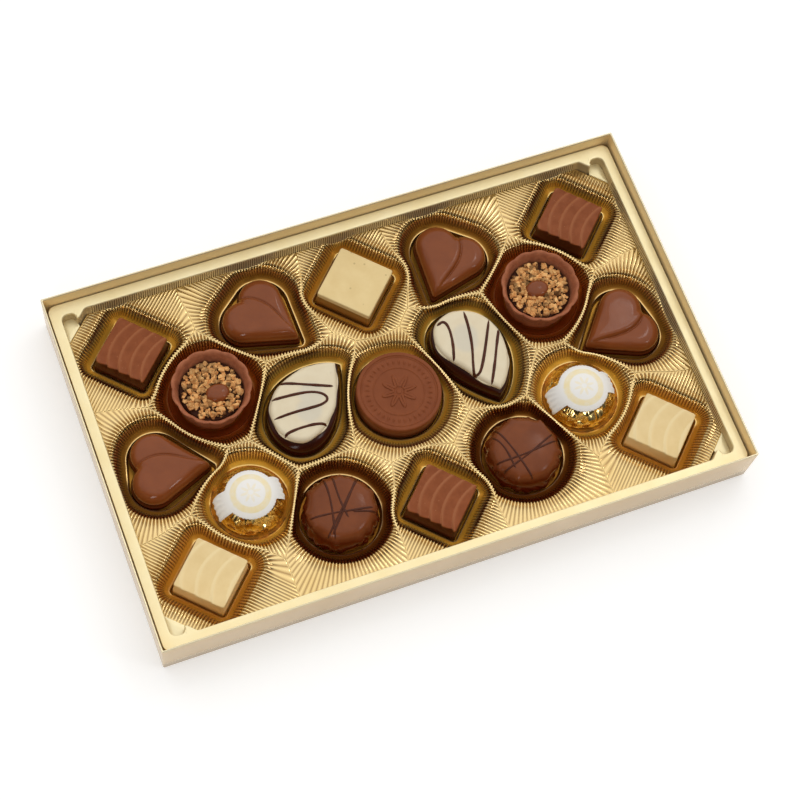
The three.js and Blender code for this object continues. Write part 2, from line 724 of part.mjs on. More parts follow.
// Reach of a pocket's mouth: the full funnel, or the ridge where a neighbour is equally near
function mouthReach(praline, angle) {
  const outline = outlineOf(praline, angle);
  const cos = Math.cos(angle);
  const sin = Math.sin(angle);
  const ownSide = (reach) => {
    const x = praline.x + reach * cos;
    const y = praline.y + reach * sin;
    return pralines.every((other) => other === praline || excess(other, x, y) > reach - outline);
  };
  let near = outline;
  let far = outline + FUNNEL_WIDTH + RIDGE_WIDTH / 2;
  if (!ownSide(far)) {
    for (let step = 0; step < 20; step += 1) {
      const middle = (near + far) / 2;
      if (ownSide(middle)) near = middle;
      else far = middle;
    }
  }
  const endWall = (LAND_HALF_LENGTH - SHEET - Math.sign(cos) * praline.x) / Math.max(Math.abs(cos), 1e-6);
  const sideWall = (LAND_HALF_WIDTH - SHEET - Math.sign(sin) * praline.y) / Math.max(Math.abs(sin), 1e-6);
  return Math.min(far - RIDGE_WIDTH / 2, endWall, sideWall);
}

// A pocket as a loft of three outlines: floor, shelf and mouth; grown by the sheet for its outside
function pocket(praline, grow, mouthHeight) {
  const foot = praline.foot ?? praline.radius;
  const floor = POCKET_FLOOR + praline.lift;
  const rings = [[], [], []];
  for (let k = 0; k < praline.count; k += 1) {
    const angle = praline.turn + praline.start + (2 * Math.PI * k) / praline.count;
    const mouth = mouthReach(praline, angle);
    const shelf = Math.min(outlineOf(praline, angle) + SHELF_CLEARANCE, mouth - FLUTE_STEP);
    const base = Math.min(foot(angle - praline.turn) + FLOOR_CLEARANCE, shelf - FLUTE_STEP);
    const heights = [floor - grow, floor + SHELF_HEIGHT, mouthHeight];
    [base, shelf, mouth].forEach((reach, row) => {
      const x = praline.x + (reach + grow) * Math.cos(angle);
      const y = praline.y + (reach + grow) * Math.sin(angle);
      rings[row].push(new THREE.Vector3(x, y, heights[row]));
    });
  }
  const low = new THREE.Vector3(praline.x, praline.y, floor - grow);
  return loft(rings, low, new THREE.Vector3(praline.x, praline.y, mouthHeight));
}

// A rectangle with its corners cut at 45 degrees
function chamferedRing(halfLength, halfWidth, cut, height) {
  const corners = [[1, -1], [1, 1], [-1, 1], [-1, -1]];
  return corners.flatMap(([right, back], k) => {
    const onEnd = new THREE.Vector3(right * halfLength, back * (halfWidth - cut), height);
    const onSide = new THREE.Vector3(right * (halfLength - cut), back * halfWidth, height);
    return k % 2 === 0 ? [onSide, onEnd] : [onEnd, onSide];
  });
}

// A rectangle with rounded corners
function roundedRing(halfLength, halfWidth, radius, height, x = 0, y = 0) {
  const shape = new THREE.Shape();
  const quarter = Math.PI / 2;
  [[1, 1], [-1, 1], [-1, -1], [1, -1]].forEach(([right, back], k) => {
    const cx = right * (halfLength - radius);
    const cy = back * (halfWidth - radius);
    shape.absarc(cx, cy, radius, k * quarter, (k + 1) * quarter);
  });
  const points = shape.getPoints(2);
  if (points[0].distanceTo(points.at(-1)) < 1e-6) points.pop();
  return points.map((point) => new THREE.Vector3(point.x + x, point.y + y, height));
}

const prism = (low, high) => loft([low, high], centreOf(low), centreOf(high));

// The stepped bowl inside the rim, from the land up past the rim
function bowl(grow, low, high) {
  const ringAt = (height) => {
    const flare = (WALL_DRAFT * (height - LAND)) / WALL_RISE + grow;
    return chamferedRing(LAND_HALF_LENGTH + flare, LAND_HALF_WIDTH + flare, CORNER_CHAMFER, height);
  };
  return prism(ringAt(low), ringAt(high));
}

// A rounded recess beside each chamfered corner of the bowl
function recess(right, back, grow, low, high) {
  const x = right * (LAND_HALF_LENGTH + WALL_DRAFT - RECESS_WIDTH / 2);
  const y = back * (LAND_HALF_WIDTH + WALL_DRAFT - RECESS_LENGTH / 2);
  const ringAt = (height) => roundedRing(
    RECESS_WIDTH / 2 + grow, RECESS_LENGTH / 2 + grow, RECESS_RADIUS + grow, height, x, y);
  return prism(ringAt(low), ringAt(high));
}

function insertSheet() {
  const above = RIM + SHEET;
  const halfLength = LAND_HALF_LENGTH + RIM_MARGIN;
  const halfWidth = LAND_HALF_WIDTH + RIM_MARGIN;
  const rimRing = (height) => roundedRing(halfLength, halfWidth, RIM_CORNER_RADIUS, height);
  const corners = [[1, 1], [-1, 1], [-1, -1], [1, -1]];
  const recessFloor = LAND + RECESS_LIFT;
  const outside = join([
    prism(rimRing(RIM - SHEET), rimRing(RIM)),
    bowl(SHEET, LAND - SHEET, RIM - SHEET / 2),
    ...corners.map(([right, back]) => recess(right, back, SHEET, recessFloor - SHEET, RIM - SHEET / 2)),
    ...pralines.map((praline) => pocket(praline, SHEET, LAND - SHEET / 2)),
  ]);
  const inside = join([
    bowl(0, LAND, above),
    ...corners.map(([right, back]) => recess(right, back, 0, recessFloor, above)),
    ...pralines.map((praline) => pocket(praline, 0, LAND + SHEET)),
  ]);
  return outside.subtract(inside);
}

// Points round each praline's outline, used to find where neighbouring pockets meet
const OUTLINE_STEPS = 360;
const outlines = pralines.map((praline) => Array.from({ length: OUTLINE_STEPS }, (_, k) => {
  const angle = (2 * Math.PI * k) / OUTLINE_STEPS;
  const reach = outlineOf(praline, angle);
  return new THREE.Vector2(praline.x + reach * Math.cos(angle), praline.y + reach * Math.sin(angle));
}));

// The upright plane half-way between the nearest points of two outlines, facing the first one
function planeBetween(first, second) {
  let best = Infinity;
  let pair = [];
  outlines[first].forEach((a) => outlines[second].forEach((b) => {
    const gap = a.distanceToSquared(b);
    if (gap < best) {
      best = gap;
      pair = [a, b];
    }
  }));
  const normal = pair[0].clone().sub(pair[1]).normalize();
  const middle = pair[0].clone().add(pair[1]).divideScalar(2);
  return { gap: Math.sqrt(best), normal: [normal.x, normal.y, 0], offset: normal.dot(middle) };
}

// The one sheet in pieces for collision: the rim, the step below it, and a cell of the land for each pocket
function insertPieces() {
  const [above, land] = insertSheet().splitByPlane([0, 0, 1], LAND);
  const [rim, step] = above.splitByPlane([0, 0, 1], RIM - 1.2 * SHEET);
  const whole = wasm.Manifold.cube([4 * LAND_HALF_LENGTH, 4 * LAND_HALF_WIDTH, 4 * RIM], true);
  let rest = land;
  const cells = pralines.map((praline, k) => {
    let room = whole;
    for (let other = k + 1; other < pralines.length; other += 1) {
      const plane = planeBetween(k, other);
      if (plane.gap < 2 * SQUARE_SIDE) room = room.trimByPlane(plane.normal, plane.offset);
    }
    const cell = rest.intersect(room);
    rest = rest.subtract(room);
    return piece(`pocket_${praline.name}`, geometryFrom(cell), 'insert', 0.25, 1);
  });
  return [
    piece('insert_rim', geometryFrom(rim), 'insert', 0.25, 1),
    piece('insert_step', geometryFrom(step), 'insert', 0.25, 1),
    ...cells,
  ];
}

// The carton's panels: a floor and four mitred walls of board that lean out a little towards the top
function cartonPanels() {
  const halfLength = LAND_HALF_LENGTH + CARTON_MARGIN;
  const halfWidth = LAND_HALF_WIDTH + CARTON_MARGIN;
  const slope = CARTON_LEAN / CARTON_HEIGHT;
  const ringAt = (height, wall) => {
    const back = (CARTON_HEIGHT - height) * slope + wall;
    return chamferedRing(halfLength - back, halfWidth - back, BOARD / 3, height);
  };
  const above = CARTON_HEIGHT + BOARD;
  const outside = solidFrom(prism(ringAt(0, 0), ringAt(CARTON_HEIGHT, 0)));
  const inside = solidFrom(prism(ringAt(BOARD, BOARD), ringAt(above, BOARD)));
  const [walls, floor] = outside.subtract(inside).splitByPlane([0, 0, 1], BOARD);
  const mitre = (halfLength - halfWidth) / Math.SQRT2;
  const wall = (name, first, second, offset) => piece(
    `carton_wall_${name}`,
    geometryFrom(walls.trimByPlane(first, offset).trimByPlane(second, offset)),
    'carton', 0.45, 0.6);
  const slant = Math.SQRT1_2;
  return [
    piece('carton_floor', geometryFrom(floor), 'carton', 0.45, 0.6),
    wall('front', [slant, -slant, 0], [-slant, -slant, 0], -mitre),
    wall('back', [slant, slant, 0], [-slant, slant, 0], -mitre),
    wall('left', [-slant, slant, 0], [-slant, -slant, 0], mitre),
    wall('right', [slant, slant, 0], [slant, -slant, 0], mitre),
  ];
}

const box = new THREE.Group();
box.add(...cartonPanels(), ...insertPieces());
pralines.forEach((praline) => {
  const group = new THREE.Group();
  group.position.set(praline.x, praline.y, PRALINE_SEAT + praline.lift);
  group.rotation.z = praline.turn;
  group.add(...praline.pieces(praline.name));
  box.add(group);
});

export default box;
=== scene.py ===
# %% [markdown]
# # An open box of chocolates
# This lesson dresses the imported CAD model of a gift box: a gold carton, a ribbed gold insert and
# nineteen pralines. Every shape is worked out with numpy as a grid of points, so each cell gives its
# formula in words. Lengths are in millimetres while a shape is worked out, and become metres when the
# mesh is made, because the CAD frame is in metres.

import bpy
import numpy as np
from mathutils import Matrix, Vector
from numpy.polynomial import Polynomial


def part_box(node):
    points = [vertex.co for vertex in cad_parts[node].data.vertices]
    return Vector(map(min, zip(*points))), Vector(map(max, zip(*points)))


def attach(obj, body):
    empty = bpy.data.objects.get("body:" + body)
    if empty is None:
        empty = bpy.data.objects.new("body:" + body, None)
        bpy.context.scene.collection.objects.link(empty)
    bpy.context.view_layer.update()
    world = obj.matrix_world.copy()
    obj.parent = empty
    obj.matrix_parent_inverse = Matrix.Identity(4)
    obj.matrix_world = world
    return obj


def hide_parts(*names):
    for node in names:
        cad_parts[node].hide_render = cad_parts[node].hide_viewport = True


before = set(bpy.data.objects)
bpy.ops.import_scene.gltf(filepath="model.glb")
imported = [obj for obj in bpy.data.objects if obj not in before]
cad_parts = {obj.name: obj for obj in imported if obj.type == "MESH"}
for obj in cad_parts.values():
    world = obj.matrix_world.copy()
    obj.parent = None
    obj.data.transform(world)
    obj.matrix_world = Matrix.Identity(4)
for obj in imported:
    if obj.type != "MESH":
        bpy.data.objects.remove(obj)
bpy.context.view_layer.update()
MM = 0.001

# %% [markdown]
# ## The camera, the floor and the light
# The camera stands at the photograph's viewing angle: in front of the box, to the left and high above
# it, with a slight roll. A product table has a white floor and large soft lamps. The floor adds a little
# light of its own for rays from the camera and for mirror rays, so that it looks white, but it still
# takes the shadow of the box. The large lamps show in the gold as bright patches between darker ones,
# which is what makes metal look like metal.

# %% Camera, floor, world and lamps
CAMERA_RIGHT = (0.93258, -0.35059, 0.08596)
CAMERA_UP = (0.29337, 0.87487, 0.3854)
CAMERA_BACK = (-0.21032, -0.3342, 0.91874)
CAMERA_PLACE = (-0.20824, -0.33521, 0.91877)
CAMERA_LENS, CAMERA_SENSOR = 98.105, 36.0
FLOOR_HALF, FLOOR_DROP, FLOOR_GREY, FLOOR_LIFT = 6.0, 2e-4, 0.8, 0.36
SKY = [(0.0, 0.02), (0.34, 0.14), (0.6, 0.82), (0.8, 1.22), (1.0, 1.06)]
SKY_AXIS, SKY_TINT = (0.24, 0.42, 0.875), (1.0, 0.985, 0.96)
LAMPS = {
    "overhead_softbox": ((0.34, 0.62, 1.5), 1.3, 1.0, 0.6),
    "right_window": ((0.72, 0.45, 1.42), 0.21, 0.21, 0.7),
    "left_softbox": ((-1.5, 0.3, 0.9), 0.8, 0.8, 1.6),
    "front_strip": ((-0.8, -1.25, 0.95), 0.66, 0.22, 4.0),
    "right_strip": ((0.95, -0.85, 1.1), 0.26, 0.2, 1.4),
}

scene = bpy.context.scene
scene.view_settings.view_transform = "Standard"


def stand(name, data, right, up, back, place):
    """An object in the scene whose three axes and place are the columns of its matrix."""
    thing = bpy.data.objects.new(name, data)
    scene.collection.objects.link(thing)
    columns = np.array([right, up, back, place]).T
    thing.matrix_world = Matrix(np.vstack([columns, [0, 0, 0, 1]]).tolist())
    return thing


def add_camera():
    """A camera at the photograph's viewing angle."""
    data = bpy.data.cameras.new("table_camera")
    data.lens, data.sensor_width = CAMERA_LENS, CAMERA_SENSOR
    data.clip_start, data.clip_end = 0.01, 100.0
    scene.camera = stand("table_camera", data, CAMERA_RIGHT, CAMERA_UP, CAMERA_BACK, CAMERA_PLACE)


def calculate(tree, operation, first, second):
    """A sum of two inputs, each a number or a socket, by the operation that is named."""
    node = tree.nodes.new("ShaderNodeMath")
    node.operation = operation
    for socket, value in zip(node.inputs, (first, second)):
        if isinstance(value, float):
            socket.default_value = value
        else:
            tree.links.new(value, socket)
    return node.outputs[0]


def mirror_rays(tree):
    """1 for rays from the camera, a mirror or glass, and 0 for the rays that light the object."""
    path = tree.nodes.new("ShaderNodeLightPath")
    either = calculate(tree, "MAXIMUM", path.outputs["Is Camera Ray"], path.outputs["Is Glossy Ray"])
    return calculate(tree, "MAXIMUM", either, path.outputs["Is Transmission Ray"])


def add_floor():
    """A wide white plane just under the box, which keeps the shadow."""
    half, low = FLOOR_HALF, -FLOOR_DROP
    mesh = bpy.data.meshes.new("floor")
    mesh.from_pydata([(-half, -half, low), (half, -half, low), (half, half, low), (-half, half, low)],
                     [], [(0, 1, 2, 3)])
    floor = bpy.data.objects.new("floor", mesh)
    scene.collection.objects.link(floor)
    material = bpy.data.materials.new("white_floor")
    material.use_nodes = True
    tree = material.node_tree
    tree.nodes.clear()
    matt = tree.nodes.new("ShaderNodeBsdfDiffuse")
    matt.inputs["Color"].default_value = (FLOOR_GREY, FLOOR_GREY, FLOOR_GREY, 1)
    glow = tree.nodes.new("ShaderNodeEmission")
    lift = calculate(tree, "MULTIPLY", mirror_rays(tree), FLOOR_LIFT)
    tree.links.new(lift, glow.inputs["Strength"])
    total = tree.nodes.new("ShaderNodeAddShader")
    tree.links.new(matt.outputs[0], total.inputs[0])
    tree.links.new(glow.outputs[0], total.inputs[1])
    output = tree.nodes.new("ShaderNodeOutputMaterial")
    tree.links.new(total.outputs[0], output.inputs["Surface"])
    mesh.materials.append(material)


def add_world():
    """A studio that is brightest along an axis above and behind the box, and dark behind the camera."""
    world = bpy.data.worlds.new("studio")
    world.use_nodes = True
    scene.world = world
    tree = world.node_tree
    tree.nodes.clear()
    place = tree.nodes.new("ShaderNodeTexCoord")
    facing = tree.nodes.new("ShaderNodeVectorMath")
    facing.operation = "DOT_PRODUCT"
    facing.inputs[1].default_value = SKY_AXIS
    tree.links.new(place.outputs["Generated"], facing.inputs[0])
    ramp = tree.nodes.new("ShaderNodeValToRGB")
    stops = ramp.color_ramp.elements
    stops[0].position, stops[1].position = SKY[0][0], SKY[-1][0]
    for height, _ in SKY[1:-1]:
        stops.new(height)
    for stop, (_, grey) in zip(stops, SKY):
        stop.color = (*[tint * grey for tint in SKY_TINT], 1)
    tree.links.new(facing.outputs["Value"], ramp.inputs["Fac"])
    sky = tree.nodes.new("ShaderNodeBackground")
    tree.links.new(ramp.outputs["Color"], sky.inputs["Color"])
    output = tree.nodes.new("ShaderNodeOutputWorld")
    tree.links.new(sky.outputs[0], output.inputs["Surface"])


def add_lamp(name, place, width, depth, power):
    """A soft rectangular lamp that faces the middle of the box."""
    data = bpy.data.lights.new(name, "AREA")
    data.shape, data.size, data.size_y, data.energy = "RECTANGLE", width, depth, power
    back = np.array(place) / np.linalg.norm(place)
    right = np.cross((0.0, 1.0, 0.0), back)
    right /= np.linalg.norm(right)
    stand(name, data, right, np.cross(back, right), back, place)


add_camera()
add_floor()
add_world()
for name, lamp in LAMPS.items():
    add_lamp(name, *lamp)
print("camera, floor, world and", len(bpy.data.lights), "lamps")

# %% [markdown]
# ## Surfaces from rings
# Nearly every piece here is a stack of rings: closed loops of points that rise from the foot, go over
# the top and end in a pole. Joining each ring to the next with quads, and closing both ends with a fan,
# gives a skin with no holes. One helper does this for every piece, on whole arrays.

# %% Skins of rings, and the mesh they make
def circle(count):
    """Angles all the way round, and the unit vector at each of them."""
    angle = np.arange(count) * 2 * np.pi / count
    return angle, np.stack([np.cos(angle), np.sin(angle)], -1)


def at_height(plan, z):
    """A ring from its plan and its height, which is one number or one for each point."""
    return np.column_stack([plan, np.broadcast_to(z, (len(plan),))])


def ring_quads(rows, count, around=False):
    """Quads that join neighbouring rings of a grid; around also joins the last ring to the first."""
    row = np.arange(rows if around else rows - 1)[:, None]
    point = np.arange(count)[None, :]
    above = (row + 1) % rows
    after = (point + 1) % count
    corners = (row * count + point, row * count + after, above * count + after, above * count + point)
    return np.stack(np.broadcast_arrays(*corners), -1).reshape(-1, 4)


def closed_skin(rings, low=None, high=None):
    """A body from rings[row, point, xyz], bottom to top, with a pole at the middle of each end."""
    rows, count, _ = rings.shape
    low = rings[0].mean(0) if low is None else low
    high = rings[-1].mean(0) if high is None else high
    points = np.vstack([rings.reshape(-1, 3), low, high])
    point = np.arange(count)
    after = (point + 1) % count
    first, last, top = rows * count, rows * count + 1, (rows - 1) * count
    foot = np.stack([np.full(count, first), after, point], -1)
    head = np.stack([np.full(count, last), top + point, top + after], -1)
    return points, ring_quads(rows, count), np.vstack([foot, head])


def ring_skin(rings):
    """A closed band, like a picture frame, from rings that meet again after the last one."""
    rows, count, _ = rings.shape
    return rings.reshape(-1, 3), ring_quads(rows, count, around=True), np.zeros((0, 3), int)


def mesh_of(name, skins, rounded):
    """One mesh from several closed skins, in metres, with smooth or flat faces."""
    start = np.cumsum([0] + [len(points) for points, _, _ in skins])[:-1]
    points = np.vstack([points for points, _, _ in skins]) * MM
    quads = np.vstack([quads + s for (_, quads, _), s in zip(skins, start)])
    fans = np.vstack([fans + s for (_, _, fans), s in zip(skins, start)])
    corners = np.concatenate([quads.ravel(), fans.ravel()]).astype(np.int32)
    starts = np.concatenate([4 * np.arange(len(quads)), 4 * len(quads) + 3 * np.arange(len(fans))])
    mesh = bpy.data.meshes.new(name)
    mesh.vertices.add(len(points))
    mesh.vertices.foreach_set("co", points.astype(np.float32).ravel())
    mesh.loops.add(len(corners))
    mesh.loops.foreach_set("vertex_index", corners)
    mesh.polygons.add(len(starts))
    mesh.polygons.foreach_set("loop_start", starts.astype(np.int32))
    mesh.polygons.foreach_set("use_smooth", np.full(len(starts), rounded))
    mesh.update(calc_edges=True)
    return mesh


def add_piece(name, skins, body, nodes, material, marks=None, rounded=True):
    """An object that rides on a CAD body and stands for CAD nodes; marks are values per point."""
    mesh = mesh_of(name, skins, rounded)
    for mark, values in (marks or {}).items():
        layer = mesh.attributes.new(mark, "FLOAT", "POINT")
        layer.data.foreach_set("value", np.asarray(values, np.float32))
    mesh.materials.append(material)
    piece = bpy.data.objects.new(name, mesh)
    scene.collection.objects.link(piece)
    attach(piece, body)
    if nodes:
        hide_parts(*nodes)
    return piece


def faces_of(skins):
    """The triangle count of some skins."""
    return sum(2 * len(quads) + len(fans) for _, quads, fans in skins)


print("ring helpers ready")

# %% [markdown]
# ## Outlines as circles in a stretched band
# Every praline here has a convex outline: a square is four small circles in a tight band, a heart's
# pocket is two large circles and a tip, a round one is a single circle. Such an outline is described by
# how far it reaches in each direction. The distance of a point from the outline is then the largest
# amount by which it passes that reach, which numpy finds with one product of two arrays.

# %% Convex outlines
DIRECTIONS = 360
UNIT = circle(DIRECTIONS)[1]


def reach_of(circles):
    """For each direction, how far the band round the circles reaches."""
    return (UNIT @ circles[:, :2].T + circles[:, 2]).max(1)


def distance_to(points, reach):
    """Distance of points from an outline: positive outside it, negative inside."""
    return (points @ UNIT.T - reach).max(-1)


def outline_of(circles, count, grow=0.0):
    """Points and outward normals round the band, evenly spaced along a copy that is grown outwards."""
    nearest = (UNIT @ circles[:, :2].T + circles[:, 2]).argmax(1)
    edge = circles[nearest, :2] + circles[nearest, 2:] * UNIT
    grown = edge + grow * UNIT
    step = np.linalg.norm(np.roll(grown, -1, 0) - grown, axis=1)
    along = np.concatenate([[0.0], np.cumsum(step)])
    wanted = np.arange(count) * along[-1] / count

    def spread(values):
        closed = np.vstack([values, values[:1]])
        return np.stack([np.interp(wanted, along, closed[:, i]) for i in range(2)], -1)

    normal = spread(UNIT)
    return spread(edge), normal / np.linalg.norm(normal, axis=1, keepdims=True)


def length_of(circles, grow=0.0):
    """Length of the outline once it is grown outwards."""
    points, normal = outline_of(circles, 2 * DIRECTIONS, grow)
    points = points + grow * normal
    return np.linalg.norm(np.roll(points, -1, 0) - points, axis=1).sum()


def square_band(side, corner):
    """Four circles at the corners of a square."""
    middle = side / 2 - corner
    return np.array([(x * middle, y * middle, corner) for x in (-1, 1) for y in (-1, 1)])


SQUARE_SIDE, WHITE_SIDE, SQUARE_CORNER = 25.4, 27.5, 1.0
HEART_LENGTH, HEART_WIDTH, LOBE, HEART_TIP = 37.4, 35.0, 12.0, 1.4
LOBE_X, LOBE_Y = LOBE - HEART_LENGTH / 2, HEART_WIDTH / 2 - LOBE
PETAL_LENGTH, PETAL_STRAIGHT, PETAL_ROUND = 48.4, 18.2, 21.6


def heart_band():
    """Two lobes and a small tip."""
    return np.array([(LOBE_X, LOBE_Y, LOBE), (LOBE_X, -LOBE_Y, LOBE),
                     (HEART_LENGTH / 2 - HEART_TIP, 0, HEART_TIP)])


def petal_band():
    """A drop whose one side is straighter than the other, as points that count as tiny circles."""
    t = np.linspace(0, 2 * np.pi, 241)[:-1]
    straight = t < np.pi
    swell = np.where(straight, np.sin(t / 2), np.sin(t / 2) ** 0.35)
    half = np.where(straight, PETAL_STRAIGHT, PETAL_ROUND)
    return np.stack([PETAL_LENGTH / 2 * np.cos(t), -half * np.sin(t) * swell, np.zeros_like(t)], -1)


def round_band(radius):
    """One circle."""
    return np.array([(0.0, 0.0, radius)])


print("square outline:", round(length_of(square_band(SQUARE_SIDE, SQUARE_CORNER)), 1), "mm round")

# %% [markdown]
# ## Where each praline lies
# The CAD model placed the pralines by named rows and columns, and the scene repeats those places. Left
# and right mirror each other, except that the two petals are turned their own way. Each entry is the
# kind of praline, its place on the floor plan and its turn in degrees.

# %% The floor plan
OUTER, CUP_COLUMN, INNER, PETAL_COLUMN = 107.93, 80.0, 44.0, 38.5
BACK, CUP_ROW, PETAL_ROW, MEDALLION_ROW, SIDE_ROW, BALL_ROW = 55.86, 25.53, 5.7, -2.0, -2.4, -27.93
HEART_ROW, TRUFFLE_ROW = BACK - 3.2, 9.6 - BACK
MEDALLION_R, TRUFFLE_R, CUP_R, BALL_R = 19.8, 17.75, 18.5, 16.5
SEAT, LIFTS = 2.0, {"medallion": 2.0}
PLAN = {
    "square_milk_back_left": ("milk_square", -OUTER, BACK, 45),
    "heart_back_left": ("heart", -INNER, HEART_ROW, -51),
    "square_white_back": ("white_square", 0, BACK, 45),
    "heart_back_right": ("heart", INNER, HEART_ROW, 231),
    "square_milk_back_right": ("milk_square", OUTER, BACK, 45),
    "nut_cup_left": ("nut_cup", -CUP_COLUMN, CUP_ROW, 0),
    "nut_cup_right": ("nut_cup", CUP_COLUMN, CUP_ROW, 0),
    "heart_side_left": ("heart", -OUTER, SIDE_ROW, -14),
    "petal_left": ("petal", -PETAL_COLUMN, PETAL_ROW, 41),
    "medallion": ("medallion", 0, MEDALLION_ROW, 0),
    "petal_right": ("petal", PETAL_COLUMN, PETAL_ROW, -76),
    "heart_side_right": ("heart", OUTER, SIDE_ROW, 194),
    "foil_ball_left": ("foil_ball", -CUP_COLUMN, BALL_ROW, 0),
    "foil_ball_right": ("foil_ball", CUP_COLUMN, BALL_ROW, 0),
    "square_cream_front_left": ("cream_square", -OUTER, -BACK, 45),
    "truffle_left": ("truffle", -INNER, TRUFFLE_ROW, 0),
    "square_milk_front": ("milk_square", 0, -BACK, 45),
    "truffle_right": ("truffle", INNER, TRUFFLE_ROW, 0),
    "square_cream_front_right": ("cream_square", OUTER, -BACK, 45),
}
BANDS = {
    "milk_square": square_band(SQUARE_SIDE, SQUARE_CORNER),
    "cream_square": square_band(SQUARE_SIDE, SQUARE_CORNER),
    "white_square": square_band(WHITE_SIDE, SQUARE_CORNER),
    "heart": heart_band(),
    "petal": petal_band(),
    "medallion": round_band(MEDALLION_R),
    "truffle": round_band(TRUFFLE_R),
    "nut_cup": round_band(CUP_R),
    "foil_ball": round_band(BALL_R),
}


def turned(points, name):
    """Points of a praline's own plan, turned and moved to its place in the box."""
    _, x, y, turn = PLAN[name]
    c, s = np.cos(np.radians(turn)), np.sin(np.radians(turn))
    out = np.array(points, float)
    out[..., 0], out[..., 1] = (c * points[..., 0] - s * points[..., 1] + x,
                                s * points[..., 0] + c * points[..., 1] + y)
    return out


def seated(skin, name):
    """A praline's skin moved to its place in the box and up onto its pocket's floor."""
    points, quads, fans = skin
    out = turned(points, name)
    out[..., 2] += SEAT + LIFTS.get(PLAN[name][0], 0.0)
    return out, quads, fans


def paint_node(node, material):
    """The finish of a CAD solid that keeps its own shape."""
    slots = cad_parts[node].data.materials
    slots.clear()
    slots.append(material)


PLACED = {name: turned(BANDS[entry[0]], name) for name, entry in PLAN.items()}
REACHES = {name: reach_of(circles) for name, circles in PLACED.items()}
print(len(PLAN), "pralines on the plan")

# %% [markdown]
# ## Finishes
# The finishes share two effects, so these are node groups: a cloudy mask that varies colour and
# roughness over a surface, and a fleck mask of small round spots. Each material keeps its own Principled
# shader and sets plain numbers on the shader itself.

# %% Shared node groups
def new_group(name, inputs, outputs):
    """An empty shader group with named float or vector sockets."""
    group = bpy.data.node_groups.new(name, "ShaderNodeTree")
    for label, kind, value in inputs:
        socket = group.interface.new_socket(label, in_out="INPUT", socket_type=kind)
        if value is not None:
            socket.default_value = value
    for label, kind in outputs:
        group.interface.new_socket(label, in_out="OUTPUT", socket_type=kind)
    return group, group.nodes.new("NodeGroupInput"), group.nodes.new("NodeGroupOutput")


def noise_in(tree, vector, scale, detail, roughness=0.55):
    """A noise texture on a vector; scale is a number or a socket."""
    noise = tree.nodes.new("ShaderNodeTexNoise")
    noise.inputs["Detail"].default_value = detail
    noise.inputs["Roughness"].default_value = roughness
    tree.links.new(vector, noise.inputs["Vector"])
    if isinstance(scale, (int, float)):
        noise.inputs["Scale"].default_value = scale
    else:
        tree.links.new(scale, noise.inputs["Scale"])
    return noise.outputs["Fac"]


def stretch(tree, value, low, high, to_low=0.0, to_high=1.0):
    """A value stretched from one range to another and held within it."""
    node = tree.nodes.new("ShaderNodeMapRange")
    tree.links.new(value, node.inputs["Value"])
    for label, number in zip(("From Min", "From Max", "To Min", "To Max"), (low, high, to_low, to_high)):
        node.inputs[label].default_value = number
    return node.outputs["Result"]


def make_cloud_group():
    """Cloudy mask: soft noise stretched so that it uses the whole range from 0 to 1."""
    group, start, end = new_group(
        "cloudy mask", [("Vector", "NodeSocketVector", None), ("Scale", "NodeSocketFloat", 100.0)],
        [("Mask", "NodeSocketFloat")])
    fac = noise_in(group, start.outputs["Vector"], start.outputs["Scale"], 4.0)
    group.links.new(stretch(group, fac, 0.32, 0.68), end.inputs["Mask"])
    return group


def make_fleck_group():
    """Fleck mask: small round spots where the nearest of many scattered points is very near."""
    group, start, end = new_group(
        "fleck mask", [("Vector", "NodeSocketVector", None), ("Scale", "NodeSocketFloat", 300.0),
                       ("Size", "NodeSocketFloat", 0.12)],
        [("Mask", "NodeSocketFloat")])
    cells = group.nodes.new("ShaderNodeTexVoronoi")
    group.links.new(start.outputs["Vector"], cells.inputs["Vector"])
    group.links.new(start.outputs["Scale"], cells.inputs["Scale"])
    near = calculate(group, "SUBTRACT", start.outputs["Size"], cells.outputs["Distance"])
    group.links.new(stretch(group, near, 0.0, 0.06), end.inputs["Mask"])
    return group


CLOUDS = make_cloud_group()
FLECKS = make_fleck_group()


def use_group(tree, group, vector, **values):
    """A group placed in a material with its own values; gives the mask."""
    node = tree.nodes.new("ShaderNodeGroup")
    node.node_tree = group
    tree.links.new(vector, node.inputs["Vector"])
    for label, value in values.items():
        node.inputs[label].default_value = value
    return node.outputs["Mask"]


def mix_colour(tree, mask, first, second):
    """The first colour where the mask is 0 and the second where it is 1; each a tuple or a socket."""
    node = tree.nodes.new("ShaderNodeMix")
    node.data_type = "RGBA"
    tree.links.new(mask, node.inputs[0])
    for socket, colour in ((node.inputs[6], first), (node.inputs[7], second)):
        if isinstance(colour, tuple):
            socket.default_value = (*colour, 1)
        else:
            tree.links.new(colour, socket)
    return node.outputs[2]


def srgb(red, green, blue):
    """A colour as a picture program shows it, from 0 to 255, in the light units a shader needs."""
    value = np.array([red, green, blue]) / 255
    linear = np.where(value <= 0.04045, value / 12.92, ((value + 0.055) / 1.055) ** 2.4)
    return tuple(float(v) for v in linear)


def start_material(name):
    """An empty material: its tree, its Principled shader and the object's own coordinates."""
    material = bpy.data.materials.new(name)
    material.use_nodes = True
    tree = material.node_tree
    tree.nodes.clear()
    shader = tree.nodes.new("ShaderNodeBsdfPrincipled")
    output = tree.nodes.new("ShaderNodeOutputMaterial")
    tree.links.new(shader.outputs[0], output.inputs["Surface"])
    place = tree.nodes.new("ShaderNodeTexCoord")
    return material, tree, shader, place.outputs["Object"]


